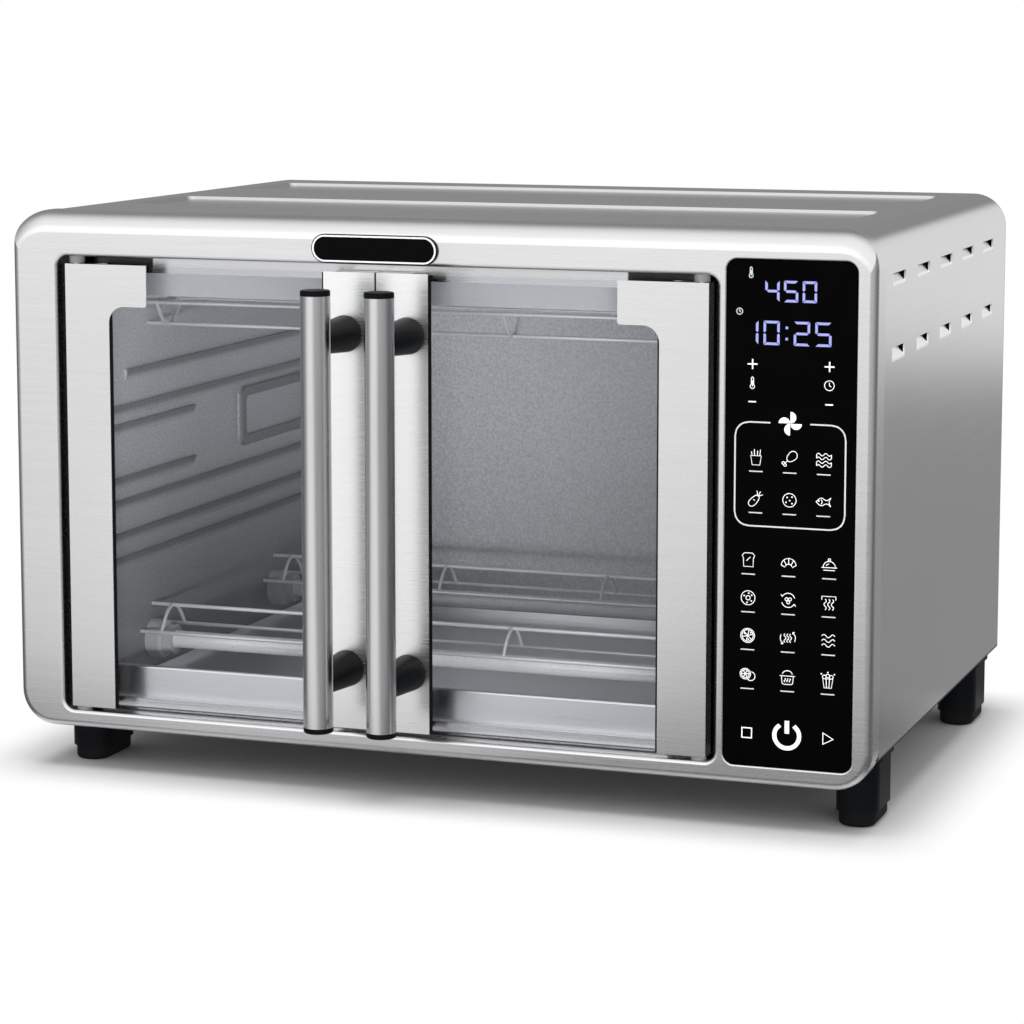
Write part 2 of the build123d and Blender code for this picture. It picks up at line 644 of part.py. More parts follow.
def foot_pads():
    """Soft pads that step in under the feet, rounded where they meet the table."""
    step = PAD_STEP
    outline = RectangleRounded(FOOT_WIDTH - 2 * step, FOOT_LENGTH - 2 * step, FOOT_CORNER_R - step)
    pads = []
    for x, y in foot_screw_places():
        pad = extrude(Pos(x, y, 0) * outline, amount=PAD_HEIGHT)
        pads.append(fillet(pad.faces().sort_by(Axis.Z)[0].edges(), PAD_EDGE_R))
    return group(pads)


def foot_screws():
    """Screws up through the feet into the base panel."""
    seat = PAD_HEIGHT + FOOT_BORE_DEPTH
    screws = []
    for x, y in foot_screw_places():
        shank = post(x, y, seat, SIDE_LIFT + FOOT_SCREW_TAIL, FOOT_SCREW_DIAMETER)
        screws.append(shank + post(x, y, seat - FOOT_SCREW_HEAD, seat, FOOT_SCREW_HEAD_DIAMETER))
    return group(screws)


def badge_plate():
    """Blank pill-shaped plate above the doors' meeting line."""
    outline = SlotOverall(BADGE_WIDTH, BADGE_HEIGHT)
    return extrude(facing_front(MEETING_X, FRONT, BADGE_Z) * outline, amount=BADGE_THICK)


# Control panel

def control_panel_glass():
    """Black touch glass set into the fascia."""
    return slab(PANEL_X0, PANEL_X1, PANEL_Z0, PANEL_Z1, PANEL_CORNER_R, FRONT + PANEL_SETBACK, PANEL_BACK)


def display_corners(grow):
    """X and Z limits of the display window."""
    middle = (PANEL_X0 + PANEL_X1) / 2
    z1 = PANEL_Z1 - DISPLAY_DROP
    return (middle - DISPLAY_WIDTH / 2 - grow, middle + DISPLAY_WIDTH / 2 + grow,
            z1 - DISPLAY_HEIGHT - grow, z1 + grow)


def board_posts():
    """X and Z of the four posts that carry the control board."""
    inset = BOARD_MARGIN + POST_DIAMETER
    return [(x, z) for x in (PANEL_X0 + inset, PANEL_X1 - inset)
            for z in (PANEL_Z0 + inset, PANEL_Z1 - DISPLAY_DROP - DISPLAY_HEIGHT - inset)]


def panel_carrier():
    """Moulded frame behind the touch glass, with posts for the control board."""
    over = CARRIER_OVERLAP
    back = PANEL_BACK + CARRIER_THICK
    frame = slab(PANEL_X0 - over, PANEL_X1 + over, PANEL_Z0 - over, PANEL_Z1 + over,
                 PANEL_CORNER_R + over, PANEL_BACK, back)
    x0, x1, z0, z1 = display_corners(DISPLAY_CLEARANCE)
    frame -= block(x0, x1, PANEL_BACK, back, z0, z1)
    for x, z in board_posts():
        frame += peg(x, z, back, PANEL_BACK + CARRIER_THICK + BOARD_STANDOFF, POST_DIAMETER)
    return frame


def display_module():
    """Segment display behind the glass, in the carrier's window."""
    x0, x1, z0, z1 = display_corners(0)
    return block(x0, x1, PANEL_BACK, PANEL_BACK + DISPLAY_THICK, z0, z1)


def control_board():
    """Touch and control circuit board on the carrier's posts."""
    y0 = PANEL_BACK + CARRIER_THICK + BOARD_STANDOFF
    y1 = y0 + BOARD_THICK
    board = block(PANEL_X0 + BOARD_MARGIN, PANEL_X1 - BOARD_MARGIN, y0, y1,
                  PANEL_Z0 + BOARD_MARGIN, PANEL_Z1 - BOARD_MARGIN)
    middle = (PANEL_X0 + PANEL_X1) / 2
    for step in (-2, 0, 2):
        z = (PANEL_Z0 + PANEL_Z1) / 2 + step * CHIP_SIZE
        half = CHIP_SIZE / 2
        board += block(middle - half, middle + half, y1, y1 + CHIP_THICK, z - half, z + half)
    return board


def power_board():
    """Relay and supply board on standoffs inside the rear panel."""
    y1 = SHELL_REAR - POWER_BOARD_STANDOFF
    y0 = y1 - BOARD_THICK
    x1 = SHELL_RIGHT - SHELL_FLANGE - POWER_BOARD_SIDE_GAP
    x0 = x1 - POWER_BOARD_WIDTH
    z1 = SHELL_TOP - POWER_BOARD_TOP_GAP
    z0 = z1 - POWER_BOARD_HEIGHT
    board = block(x0, x1, y0, y1, z0, z1)
    for x in (x0 + POST_DIAMETER, x1 - POST_DIAMETER):
        for z in (z0 + POST_DIAMETER, z1 - POST_DIAMETER):
            board += peg(x, z, y1, SHELL_REAR, POST_DIAMETER)
    size = TRANSFORMER_SIZE
    left = x0 + 2 * POST_DIAMETER
    board += block(left, left + size, y0 - TRANSFORMER_HEIGHT, y0, z0 + size / 2, z0 + size * 3 / 2)
    for step in (1, 3):
        x = left + step * CAPACITOR_DIAMETER
        board += peg(x, z1 - 2 * CAPACITOR_DIAMETER, y0 - CAPACITOR_HEIGHT, y0, CAPACITOR_DIAMETER)
    return board


# Cavity

def cavity_front_frame():
    """Flat frame between the fascia's lip and the cavity walls."""
    frame = slab(OPEN_X0 - LIP_SHEET, OPEN_X1 + LIP_SHEET, LIP_BOTTOM, LIP_TOP,
                 OPENING_CORNER_R + LIP_SHEET, LIP_BACK, CAVITY_FRONT)
    return frame - block(CAVITY_X0, CAVITY_X1, LIP_BACK, CAVITY_FRONT, CAVITY_Z0, CAVITY_Z1)


def wall_ribs():
    """Rack ribs on the left wall: long and short ledges with sloped undersides, and a raised rectangle."""
    rear = CAVITY_BACK - RIB_REAR_MARGIN
    front = FRONT + RIB_FRONT
    spans = [(height, front, rear) for height in LONG_RIB_HEIGHTS]
    spans += [(height, front, FRONT + SHORT_RIB_END) for height in SHORT_RIB_HEIGHTS]
    spans.append((TOP_RIB_HEIGHT, FRONT + TOP_RIB_START, rear))
    section = make_face(Polyline((0, 0), (0, -RIB_HEIGHT), (RIB_RISE, 0), close=True))
    ribs = []
    for height, y0, y1 in spans:
        plane = facing_front(CAVITY_X0, y0, CAVITY_Z0 + height + RIB_HEIGHT / 2)
        ribs.append(extrude(plane * section, amount=y0 - y1))
    y0 = FRONT + RIB_FRAME_START
    z0 = CAVITY_Z0 + RIB_FRAME_BOTTOM
    plane = facing_right(CAVITY_X0, (y0 + rear) / 2, z0 + RIB_FRAME_HEIGHT / 2)
    length, band = rear - y0, RIB_FRAME_BAND
    ring = extrude(plane * RectangleRounded(length, RIB_FRAME_HEIGHT, band), amount=RIB_RISE, taper=RIB_DRAFT)
    window = RectangleRounded(length - 2 * band, RIB_FRAME_HEIGHT - 2 * band, band / 2)
    ribs.append(ring - extrude(plane * window, amount=RIB_RISE))
    return ribs


def plain_left_wall():
    """Flat sheet of the left wall."""
    return block(CAVITY_X0 - CAVITY_SHEET, CAVITY_X0, CAVITY_FRONT, CAVITY_BACK, CAVITY_Z0, CAVITY_Z1)


def cavity_left_wall():
    """Left wall with its rack ribs."""
    wall = plain_left_wall()
    for rib in wall_ribs():
        wall += rib
    return wall


def cavity_right_wall():
    """Right wall with its rack ribs, air slots in front of the fan and the probe's hole."""
    wall = mirrored(plain_left_wall())
    slot = SlotOverall(GRILLE_SLOT_LENGTH, GRILLE_SLOT_WIDTH)
    columns = int(GRILLE_RADIUS // GRILLE_PITCH_Y)
    rows = int(GRILLE_RADIUS // GRILLE_PITCH_Z)
    for column in range(-columns, columns + 1):
        for row in range(-rows, rows + 1):
            across, up = column * GRILLE_PITCH_Y, row * GRILLE_PITCH_Z
            if hypot(across, up) <= GRILLE_RADIUS:
                plane = facing_right(CAVITY_X1, FAN_Y + across, FAN_Z + up)
                wall -= extrude(plane * slot, amount=CAVITY_SHEET)
    for rib in wall_ribs():
        wall += mirrored(rib)
    y, z = probe_place()
    return wall - spindle(CAVITY_X1, CAVITY_SIDE, y, z, PROBE_DIAMETER + 2 * PROBE_FIT)


def cavity_roof():
    """Flat sheet over the cavity walls, with its front edge turned down before the upper heater."""
    roof = block(CAVITY_X0 - CAVITY_SHEET, CAVITY_SIDE, CAVITY_FRONT, CAVITY_BACK, CAVITY_Z1, CAVITY_TOP)
    return roof + block(CAVITY_X0, CAVITY_X1, CAVITY_FRONT, CAVITY_FRONT + CAVITY_SHEET,
                        CAVITY_Z1 - ROOF_VALANCE, CAVITY_Z1)


def cavity_floor():
    """Flat sheet under the cavity walls, with beads that stand on the base panel."""
    x0, x1 = CAVITY_X0 - CAVITY_SHEET, CAVITY_SIDE
    under = CAVITY_Z0 - CAVITY_SHEET
    floor = block(x0, x1, CAVITY_FRONT, CAVITY_BACK, under, CAVITY_Z0)
    bead = CAVITY_ROOF_DROP
    for share in (1, 3):
        y = CAVITY_FRONT + share * (CAVITY_BACK - CAVITY_FRONT) / 4
        floor += block(x0, x1, y - bead / 2, y + bead / 2, SIDE_LIFT, under)
    return floor


def cavity_back_wall():
    """Flat sheet behind the cavity."""
    return block(CAVITY_X0 - CAVITY_SHEET, CAVITY_SIDE, CAVITY_BACK, CAVITY_BACK + CAVITY_SHEET,
                 CAVITY_Z0 - CAVITY_SHEET, CAVITY_TOP)


# Heaters

def heater_height(upper):
    """Height of the heater axes."""
    return CAVITY_Z1 - UPPER_HEATER_DROP if upper else CAVITY_Z0 + LOWER_HEATER_RISE


def heaters(upper):
    """Front and rear heater tubes from wall to wall."""
    z = heater_height(upper)
    return group([spindle(CAVITY_X0, CAVITY_X1, FRONT + depth, z, HEATER_DIAMETER)
                  for depth in HEATER_DEPTHS])


def heater_insulators():
    """Ceramic rings that hold the heater tubes' ends on the side walls."""
    rings = []
    for upper in (False, True):
        for depth in HEATER_DEPTHS:
            y, z = FRONT + depth, heater_height(upper)
            length = INSULATOR_LENGTH
            ring = spindle(CAVITY_X0, CAVITY_X0 + length, y, z, INSULATOR_DIAMETER)
            ring = fillet(ring.edges().sort_by(Axis.X)[-1], INSULATOR_LENGTH / 4)
            neck_end = CAVITY_X0 + length + INSULATOR_NECK_LENGTH
            ring += spindle(CAVITY_X0 + length, neck_end, y, z, INSULATOR_NECK_DIAMETER)
            ring -= spindle(CAVITY_X0, neck_end, y, z, HEATER_DIAMETER + 2 * INSULATOR_FIT)
            rings += [ring, mirrored(ring)]
    return group(rings)


def heater_guard(depth, upper):
    """Three wires along a heater, joined by clips bent in an arch."""
    away = -1 if upper else 1
    y, z = FRONT + depth, heater_height(upper)
    base_z, tip_z = z + away * GUARD_BASE, z + away * GUARD_TIP
    front, rear = y - GUARD_SPREAD, y + GUARD_SPREAD
    guard = spindle(CAVITY_X0, CAVITY_X1, y, tip_z, GUARD_WIRE)
    guard += spindle(CAVITY_X0, CAVITY_X1, front, base_z, GUARD_WIRE)
    guard += spindle(CAVITY_X0, CAVITY_X1, rear, base_z, GUARD_WIRE)
    span = CAVITY_X1 - CAVITY_X0 - 2 * GUARD_CLIP_INSET
    for index in range(GUARD_CLIPS):
        x = CAVITY_X0 + GUARD_CLIP_INSET + index * span / (GUARD_CLIPS - 1)
        bend = facing_right(x, 0, 0) * Spline((front, base_z), (y, tip_z), (rear, base_z))
        guard += sweep(Plane(origin=bend @ 0, z_dir=bend % 0) * Circle(GUARD_CLIP_WIRE / 2), path=bend)
    return guard


def heater_guards(upper):
    """Guards of the front and rear heaters."""
    return group([heater_guard(depth, upper) for depth in HEATER_DEPTHS])


def crumb_tray():
    """Shallow tray on the cavity floor with an upright front lip."""
    x0, x1 = CAVITY_X0 + TRAY_CLEARANCE, CAVITY_X1 - TRAY_CLEARANCE
    y0, y1 = FRONT + TRAY_LIP_DEPTH, CAVITY_BACK - TRAY_REAR_CLEARANCE
    z0, sheet = CAVITY_Z0, TRAY_SHEET
    tray = block(x0, x1, y0, y1, z0, z0 + TRAY_EDGE_HEIGHT)
    tray -= block(x0 + sheet, x1 - sheet, y0 + sheet, y1 - sheet, z0 + sheet, z0 + TRAY_EDGE_HEIGHT)
    tray += block(x0, x1, y0, y0 + sheet, z0, z0 + TRAY_LIP_HEIGHT)
    roll = TRAY_ROLL_DIAMETER
    return tray + spindle(x0, x1, y0 + roll / 2, z0 + TRAY_LIP_HEIGHT, roll)


# Doors: each function makes the left door's piece

def hinge_stile():
    """Folded channel along the hinge, with a hook tab on its front at the top."""
    hook_x, hook_z = STILE_X1 + HOOK_WIDTH, DOOR_Z1 - HOOK_HEIGHT
    corners = ((DOOR_X0, DOOR_Z0), (STILE_X1, DOOR_Z0), (STILE_X1, hook_z),
               (hook_x, hook_z), (hook_x, DOOR_Z1), (DOOR_X0, DOOR_Z1))
    outline = make_face(Polyline(*corners, close=True))
    inner = outline.vertices().sort_by_distance((STILE_X1, hook_z, 0))[0]
    outline = fillet(inner, HOOK_INNER_R)
    tip = outline.vertices().sort_by_distance((hook_x, hook_z, 0))[0]
    outline = fillet(tip, HOOK_OUTER_R)
    front = extrude(facing_front(0, DOOR_FRONT, 0) * outline, amount=-DOOR_SHEET)
    stile = front + block(DOOR_X0, STILE_X1, DOOR_FRONT, DOOR_BACK, DOOR_Z0, DOOR_Z1)
    stile -= block(DOOR_X0 + DOOR_SHEET, STILE_X1, DOOR_FRONT + DOOR_SHEET, DOOR_BACK - DOOR_SHEET,
                   DOOR_Z0 + END_WALL, DOOR_Z1 - END_WALL)
    stile -= block(STILE_X1 - SEAL_BITE, STILE_X1, DOOR_FRONT + DOOR_SHEET, DOOR_BACK - DOOR_SHEET,
                   DOOR_Z0, DOOR_Z1)
    stile -= block(STILE_X1 - STILE_REAR_STEP, STILE_X1, DOOR_FRONT + DOOR_SHEET, DOOR_BACK, DOOR_Z0, DOOR_Z1)
    return stile - post(HINGE_X, HINGE_Y, DOOR_Z0, DOOR_Z1, PIN_DIAMETER)


def centre_stile():
    """Folded channel along the meeting edge, which carries the handle."""
    stile = block(CENTRE_X0, DOOR_X1, DOOR_FRONT, DOOR_BACK, DOOR_Z0, DOOR_Z1)
    y0, y1 = DOOR_FRONT + DOOR_SHEET, DOOR_BACK - DOOR_SHEET
    stile -= block(CENTRE_X0, DOOR_X1 - DOOR_SHEET, y0, y1, DOOR_Z0 + END_WALL, DOOR_Z1 - END_WALL)
    stile -= block(CENTRE_X0, CENTRE_X0 + SEAL_BITE, y0, y1, DOOR_Z0, DOOR_Z1)
    return stile - block(CENTRE_X0, CENTRE_X0 + STILE_REAR_STEP, y0, DOOR_BACK, DOOR_Z0, DOOR_Z1)


def door_glass():
    """Full-height pane held by its two long edges."""
    return block(STILE_X1 - GLASS_BITE, CENTRE_X0 + GLASS_BITE, GLASS_FRONT, GLASS_BACK,
                 DOOR_Z0 + GLASS_END_GAP, DOOR_Z1 - GLASS_END_GAP)


def glass_seals():
    """Channels that seat the pane in the two stiles, with the stiles' step at the rear."""
    y0, y1 = DOOR_FRONT + DOOR_SHEET, DOOR_BACK - DOOR_SHEET
    z0, z1 = DOOR_Z0 + GLASS_END_GAP, DOOR_Z1 - GLASS_END_GAP
    hinge_x, centre_x = STILE_X1 + SEAL_SHOW, CENTRE_X0 - SEAL_SHOW
    hinge_seal = block(STILE_X1 - SEAL_BITE, hinge_x, y0, y1, z0, z1)
    centre_seal = block(centre_x, CENTRE_X0 + SEAL_BITE, y0, y1, z0, z1)
    pane = door_glass() + block(hinge_x - STILE_REAR_STEP, centre_x + STILE_REAR_STEP, GLASS_FRONT, y1, z0, z1)
    return group([hinge_seal - pane, centre_seal - pane])


def handle_tube():
    """Upright steel tube in front of the centre stile."""
    half = HANDLE_LENGTH / 2 - HANDLE_CAP
    z0, z1 = DOOR_MID_Z - half, DOOR_MID_Z + half
    tube = post(HANDLE_X, HANDLE_Y, z0, z1, HANDLE_DIAMETER)
    return tube - post(HANDLE_X, HANDLE_Y, z0, z1, HANDLE_DIAMETER - 2 * HANDLE_WALL)


def handle_caps():
    """Plugs that close the tube's two ends."""
    plug = HANDLE_DIAMETER - 2 * HANDLE_WALL - 2 * HANDLE_PLUG_FIT
    end = DOOR_MID_Z + HANDLE_LENGTH / 2
    seat = end - HANDLE_CAP
    cap = post(HANDLE_X, HANDLE_Y, seat, end, HANDLE_DIAMETER)
    cap = fillet(cap.edges().sort_by(Axis.Z)[-1], HANDLE_CAP_R)
    cap += post(HANDLE_X, HANDLE_Y, seat - HANDLE_PLUG, seat, plug)
    return group([cap, mirror(cap, about=Plane.XY.offset(DOOR_MID_Z))])


def handle_standoffs():
    """Tapered posts between the centre stile and the tube."""
    length = DOOR_FRONT - HANDLE_Y - HANDLE_DIAMETER / 2 + STANDOFF_WRAP
    tube = post(HANDLE_X, HANDLE_Y, DOOR_Z0, DOOR_Z1, HANDLE_DIAMETER)
    posts = []
    for side in (-1, 1):
        plane = facing_front(HANDLE_X, DOOR_FRONT, DOOR_MID_Z + side * STANDOFF_SPACING / 2)
        cone = Cone(STANDOFF_BASE_DIAMETER / 2, STANDOFF_TIP_DIAMETER / 2, length, align=BASE_ALIGN)
        posts.append(plane * cone - tube)
    return group(posts)


def hinge_pins():
    """Upper pin with its crank arm, and lower pin."""
    upper_head = DOOR_Z1 - END_WALL
    upper = post(HINGE_X, HINGE_Y, upper_head - PIN_HEAD, CRANK_Z1, PIN_DIAMETER)
    upper += post(HINGE_X, HINGE_Y, upper_head - PIN_HEAD, upper_head, PIN_HEAD_DIAMETER)
    upper += lever(HINGE_X, HINGE_Y, 90 + HALF_SWING, CRANK_Z0, CRANK_HUB_DIAMETER)
    lower_head = DOOR_Z0 + END_WALL
    lower = post(HINGE_X, HINGE_Y, LIP_BOTTOM - PIN_TAIL, lower_head + PIN_HEAD, PIN_DIAMETER)
    lower += post(HINGE_X, HINGE_Y, lower_head, lower_head + PIN_HEAD, PIN_HEAD_DIAMETER)
    return group([upper, lower])


def hinge_bushes():
    """Flanged bushes in the fascia's lips for the four hinge pins."""
    upper = post(HINGE_X, HINGE_Y, OPEN_Z1, LINKAGE_TOP, BUSH_DIAMETER)
    upper += post(HINGE_X, HINGE_Y, DOOR_Z1 + HINGE_PLAY, OPEN_Z1, BUSH_FLANGE_DIAMETER) & door_opening()
    lower = post(HINGE_X, HINGE_Y, LIP_BOTTOM, OPEN_Z0, BUSH_DIAMETER)
    lower += post(HINGE_X, HINGE_Y, OPEN_Z0, DOOR_Z0 - HINGE_PLAY, BUSH_FLANGE_DIAMETER) & door_opening()
    bore = post(HINGE_X, HINGE_Y, LIP_BOTTOM, LINKAGE_TOP, PIN_DIAMETER + 2 * RUNNING_FIT)
    bushes = [upper - bore, lower - bore]
    return group(bushes + [mirrored(bush) for bush in bushes])


# Linkage that opens both doors with one pull

def linkage_plate():
    """Fixed plate over the opening's upper lip, with the rocker's pivot and a rear leg."""
    x0, y0 = OPEN_X0 - LIP_SHEET, LINKAGE_FRONT
    y1 = LINK_REAR_Y + LINKAGE_REAR_MARGIN
    half = block(x0, MEETING_X, y0, y1, LIP_TOP, LINKAGE_TOP)
    half += block(x0, MEETING_X, y1 - LINKAGE_SHEET, y1, CAVITY_TOP, LIP_TOP)
    half -= post(HINGE_X, HINGE_Y, LIP_TOP, LINKAGE_TOP, BUSH_DIAMETER)
    pivot = post(MEETING_X, ROCKER_Y, LINKAGE_TOP, CRANK_Z1 + LINK_GUIDE_PLAY, PIVOT_DIAMETER)
    return half + mirrored(half) + pivot


def rocker():
    """Two-armed lever that turns the push of one link into the pull of the other."""
    arms = lever(MEETING_X, ROCKER_Y, 90 + HALF_SWING, CRANK_Z0, ROCKER_HUB_DIAMETER)
    arms += lever(MEETING_X, ROCKER_Y, HALF_SWING - 90, CRANK_Z0, ROCKER_HUB_DIAMETER)
    return arms - post(MEETING_X, ROCKER_Y, CRANK_Z0, CRANK_Z1, PIVOT_DIAMETER + 2 * RUNNING_FIT)


def link_slot(x, y):
    """Slot across a link for a crank pin, long enough for the pin's dip."""
    width = CRANK_PIN_DIAMETER + 2 * LINK_SLOT_PLAY
    length = width + 2 * CRANK_DIP
    outline = Pos(x, y, LINK_Z0) * Rot(0, 0, 90) * SlotOverall(length, width)
    return extrude(outline, amount=LINK_THICK)


def link_bar(x0, x1, y):
    """Straight bar of a link between the middles of its two pads."""
    half = LINK_WIDTH / 2
    return block(x0 - LINK_PAD, x1 + LINK_PAD, y - half, y + half, LINK_Z0, LINK_Z1)


def left_link():
    """Bar from the left crank back to the rocker's rear arm."""
    crank_x, rocker_x = HINGE_X - CRANK_SIDE, MEETING_X - CRANK_SIDE
    bar = link_bar(crank_x, rocker_x, LINK_REAR_Y)
    bar += block(crank_x - LINK_PAD, crank_x + LINK_PAD, LINK_FRONT_Y - LINK_WIDTH / 2, LINK_REAR_Y,
                 LINK_Z0, LINK_Z1)
    return bar - link_slot(crank_x, LINK_FRONT_Y) - link_slot(rocker_x, LINK_REAR_Y)


def right_link():
    """Bar from the right crank to the rocker's front arm."""
    crank_x, rocker_x = 2 * MEETING_X - HINGE_X + CRANK_SIDE, MEETING_X + CRANK_SIDE
    bar = link_bar(rocker_x, crank_x, LINK_FRONT_Y)
    return bar - link_slot(crank_x, LINK_FRONT_Y) - link_slot(rocker_x, LINK_FRONT_Y)


def link_guides():
    """Bridges on the plate that keep the links straight."""
    right_end = 2 * MEETING_X - HINGE_X
    places = [(HINGE_X + GUIDE_INSET, LINK_REAR_Y), (MEETING_X - GUIDE_INSET, LINK_REAR_Y),
              (MEETING_X + GUIDE_INSET, LINK_FRONT_Y), (right_end - GUIDE_INSET, LINK_FRONT_Y)]
    inner = LINK_WIDTH / 2 + LINK_GUIDE_PLAY
    outer = inner + GUIDE_WALL
    guides = []
    for x, y in places:
        x0, x1 = x - GUIDE_LENGTH / 2, x + GUIDE_LENGTH / 2
        bridge = block(x0, x1, y - outer, y + outer, LINKAGE_TOP, LINK_Z1 + LINK_GUIDE_PLAY + GUIDE_WALL)
        guides.append(bridge - block(x0, x1, y - inner, y + inner,
                                     LINK_Z0 - LINK_GUIDE_PLAY, LINK_Z1 + LINK_GUIDE_PLAY))
    return group(guides)


def door_magnets():
    """Magnets behind the cavity's front frame, above the doors' meeting line."""
    half = MAGNET_WIDTH / 2
    return group([block(MEETING_X + side * MAGNET_OFFSET - half, MEETING_X + side * MAGNET_OFFSET + half,
                        CAVITY_FRONT, CAVITY_FRONT + MAGNET_DEPTH, CAVITY_TOP, CAVITY_TOP + MAGNET_HEIGHT)
                  for side in (-1, 1)])


# Fan

def fan_shroud():
    """Pan over the fan, on the outside of the right cavity wall."""
    half = SHROUD_SIZE / 2

    def pan(inset, x1):
        outline = RectangleRounded(2 * (half - inset), 2 * (half - inset), SHROUD_CORNER_R - inset)
        return extrude(facing_right(CAVITY_SIDE, FAN_Y, FAN_Z) * outline, amount=x1 - CAVITY_SIDE)

    shroud = pan(0, SHROUD_BACK) - pan(SHROUD_SHEET, SHROUD_BACK - SHROUD_SHEET)
    return shroud - spindle(CAVITY_SIDE, SHROUD_BACK, FAN_Y, FAN_Z, SHAFT_HOLE)


def motor_bracket():
    """Bridge that stands the motor off the hot shroud."""
    half_w, half_h = BRACKET_WIDTH / 2, BRACKET_HEIGHT / 2
    bracket = block(SHROUD_BACK, BRACKET_BACK, FAN_Y - half_w, FAN_Y + half_w, FAN_Z - half_h, FAN_Z + half_h)
    inner = half_w - BRACKET_SHEET
    bracket -= block(SHROUD_BACK, BRACKET_BACK - BRACKET_SHEET, FAN_Y - inner, FAN_Y + inner,
                     FAN_Z - half_h, FAN_Z + half_h)
    return bracket - spindle(SHROUD_BACK, BRACKET_BACK, FAN_Y, FAN_Z, SHAFT_HOLE)


def fan_motor():
    """Motor with a bearing boss at its outer end, bored for the shaft."""
    half_w, half_h = MOTOR_WIDTH / 2, MOTOR_HEIGHT / 2
    motor = block(BRACKET_BACK, MOTOR_BACK, FAN_Y - half_w, FAN_Y + half_w, FAN_Z - half_h, FAN_Z + half_h)
    motor += spindle(MOTOR_BACK, MOTOR_BACK + MOTOR_BOSS_LENGTH, FAN_Y, FAN_Z, MOTOR_BOSS_DIAMETER)
    bore = SHAFT_DIAMETER + 2 * RUNNING_FIT
    return motor - spindle(BRACKET_BACK, MOTOR_BACK + MOTOR_BOSS_LENGTH, FAN_Y, FAN_Z, bore)


def fan_shaft():
    """Shaft through the motor with a fan on each end."""
    return spindle(FAN_X0, SHAFT_END, FAN_Y, FAN_Z, SHAFT_DIAMETER)


def bladed_fan(x0, width, diameter, blades):
    """Hub, disc and radial blades, bored for the shaft."""
    sheet = FAN_BLADE_SHEET
    fan = spindle(x0, x0 + width + sheet, FAN_Y, FAN_Z, FAN_HUB_DIAMETER)
    fan += spindle(x0 + width, x0 + width + sheet, FAN_Y, FAN_Z, diameter)
    blade = block(0, width + sheet, -sheet / 2, sheet / 2, 0, diameter / 2)
    for index in range(blades):
        fan += Pos(x0, FAN_Y, FAN_Z) * Rot(index * 360 / blades, 0, 0) * blade
    return fan - spindle(x0, x0 + width + sheet, FAN_Y, FAN_Z, SHAFT_DIAMETER)


def convection_fan():
    """Hot-air fan behind the cavity wall's slots."""
    return bladed_fan(FAN_X0, FAN_BLADE_WIDTH, FAN_DIAMETER, FAN_BLADES)


def cooling_fan():
    """Fan on the shaft's outer end that cools the motor and the boards."""
    width = COOLING_FAN_WIDTH - FAN_BLADE_SHEET
    return bladed_fan(COOLING_FAN_X0, width, COOLING_FAN_DIAMETER, COOLING_FAN_BLADES)


# Sensors

def probe_place():
    """Y and Z of the temperature probe."""
    return FRONT + PROBE_DEPTH, CAVITY_Z1 - PROBE_DROP


def temperature_probe():
    """Rod through the right wall, held by a nut outside."""
    y, z = probe_place()
    probe = spindle(CAVITY_X1 - PROBE_REACH, CAVITY_SIDE, y, z, PROBE_DIAMETER)
    nut = facing_right(CAVITY_SIDE, y, z) * RegularPolygon(PROBE_NUT_DIAMETER / 2, 6)
    return probe + extrude(nut, amount=PROBE_NUT_LENGTH)


def thermal_cutout():
    """Thermal switch on the cavity roof."""
    y = (CAVITY_FRONT + CAVITY_BACK) / 2
    half = CUTOUT_FLANGE_WIDTH / 2
    flange = block(MEETING_X - half, MEETING_X + half, y - half / 2, y + half / 2,
                   CAVITY_TOP, CAVITY_TOP + CUTOUT_FLANGE_SHEET)
    return flange + post(MEETING_X, y, CAVITY_TOP, CAVITY_TOP + CUTOUT_HEIGHT, CUTOUT_DIAMETER)


# Nodes

FEET = [foot(x, y) for x, y in foot_screw_places()]

NODES = {
    "front_fascia": front_fascia(),
    "outer_shell": outer_shell(),
    "rear_panel": rear_panel(),
    "rear_screws": rear_screws(),
    "cord_gland": cord_gland(),
    "base_panel": base_panel(),
    "front_feet": group(FEET[:2]),
    "rear_feet": group(FEET[2:]),
    "foot_pads": foot_pads(),
    "foot_screws": foot_screws(),
    "badge_plate": badge_plate(),
    "control_panel_glass": control_panel_glass(),
    "panel_carrier": panel_carrier(),
    "display_module": display_module(),
    "control_board": control_board(),
    "power_board": power_board(),
    "cavity_front_frame": cavity_front_frame(),
    "cavity_left_wall": cavity_left_wall(),
    "cavity_right_wall": cavity_right_wall(),
    "cavity_roof": cavity_roof(),
    "cavity_floor": cavity_floor(),
    "cavity_back_wall": cavity_back_wall(),
    "lower_heaters": heaters(upper=False),
    "upper_heaters": heaters(upper=True),
    "heater_insulators": heater_insulators(),
    "lower_guards": heater_guards(upper=False),
    "upper_guards": heater_guards(upper=True),
    "crumb_tray": crumb_tray(),
    "hinge_bushes": hinge_bushes(),
    "linkage_plate": linkage_plate(),
    "link_guides": link_guides(),
    "rocker": rocker(),
    "left_link": left_link(),
    "right_link": right_link(),
    "door_magnets": door_magnets(),
    "fan_shroud": fan_shroud(),
    "motor_bracket": motor_bracket(),
    "fan_motor": fan_motor(),
    "fan_shaft": fan_shaft(),
    "convection_fan": convection_fan(),
    "cooling_fan": cooling_fan(),
    "temperature_probe": temperature_probe(),
    "thermal_cutout": thermal_cutout(),
}

LEFT_DOOR = {
    "hinge_stile": hinge_stile(),
    "centre_stile": centre_stile(),
    "glass": door_glass(),
    "glass_seals": glass_seals(),
    "handle_tube": handle_tube(),
    "handle_caps": handle_caps(),
    "handle_standoffs": handle_standoffs(),
    "hinge_pins": hinge_pins(),
}

for name, piece in LEFT_DOOR.items():
    NODES["left_" + name] = piece
    NODES["right_" + name] = mirrored(piece)

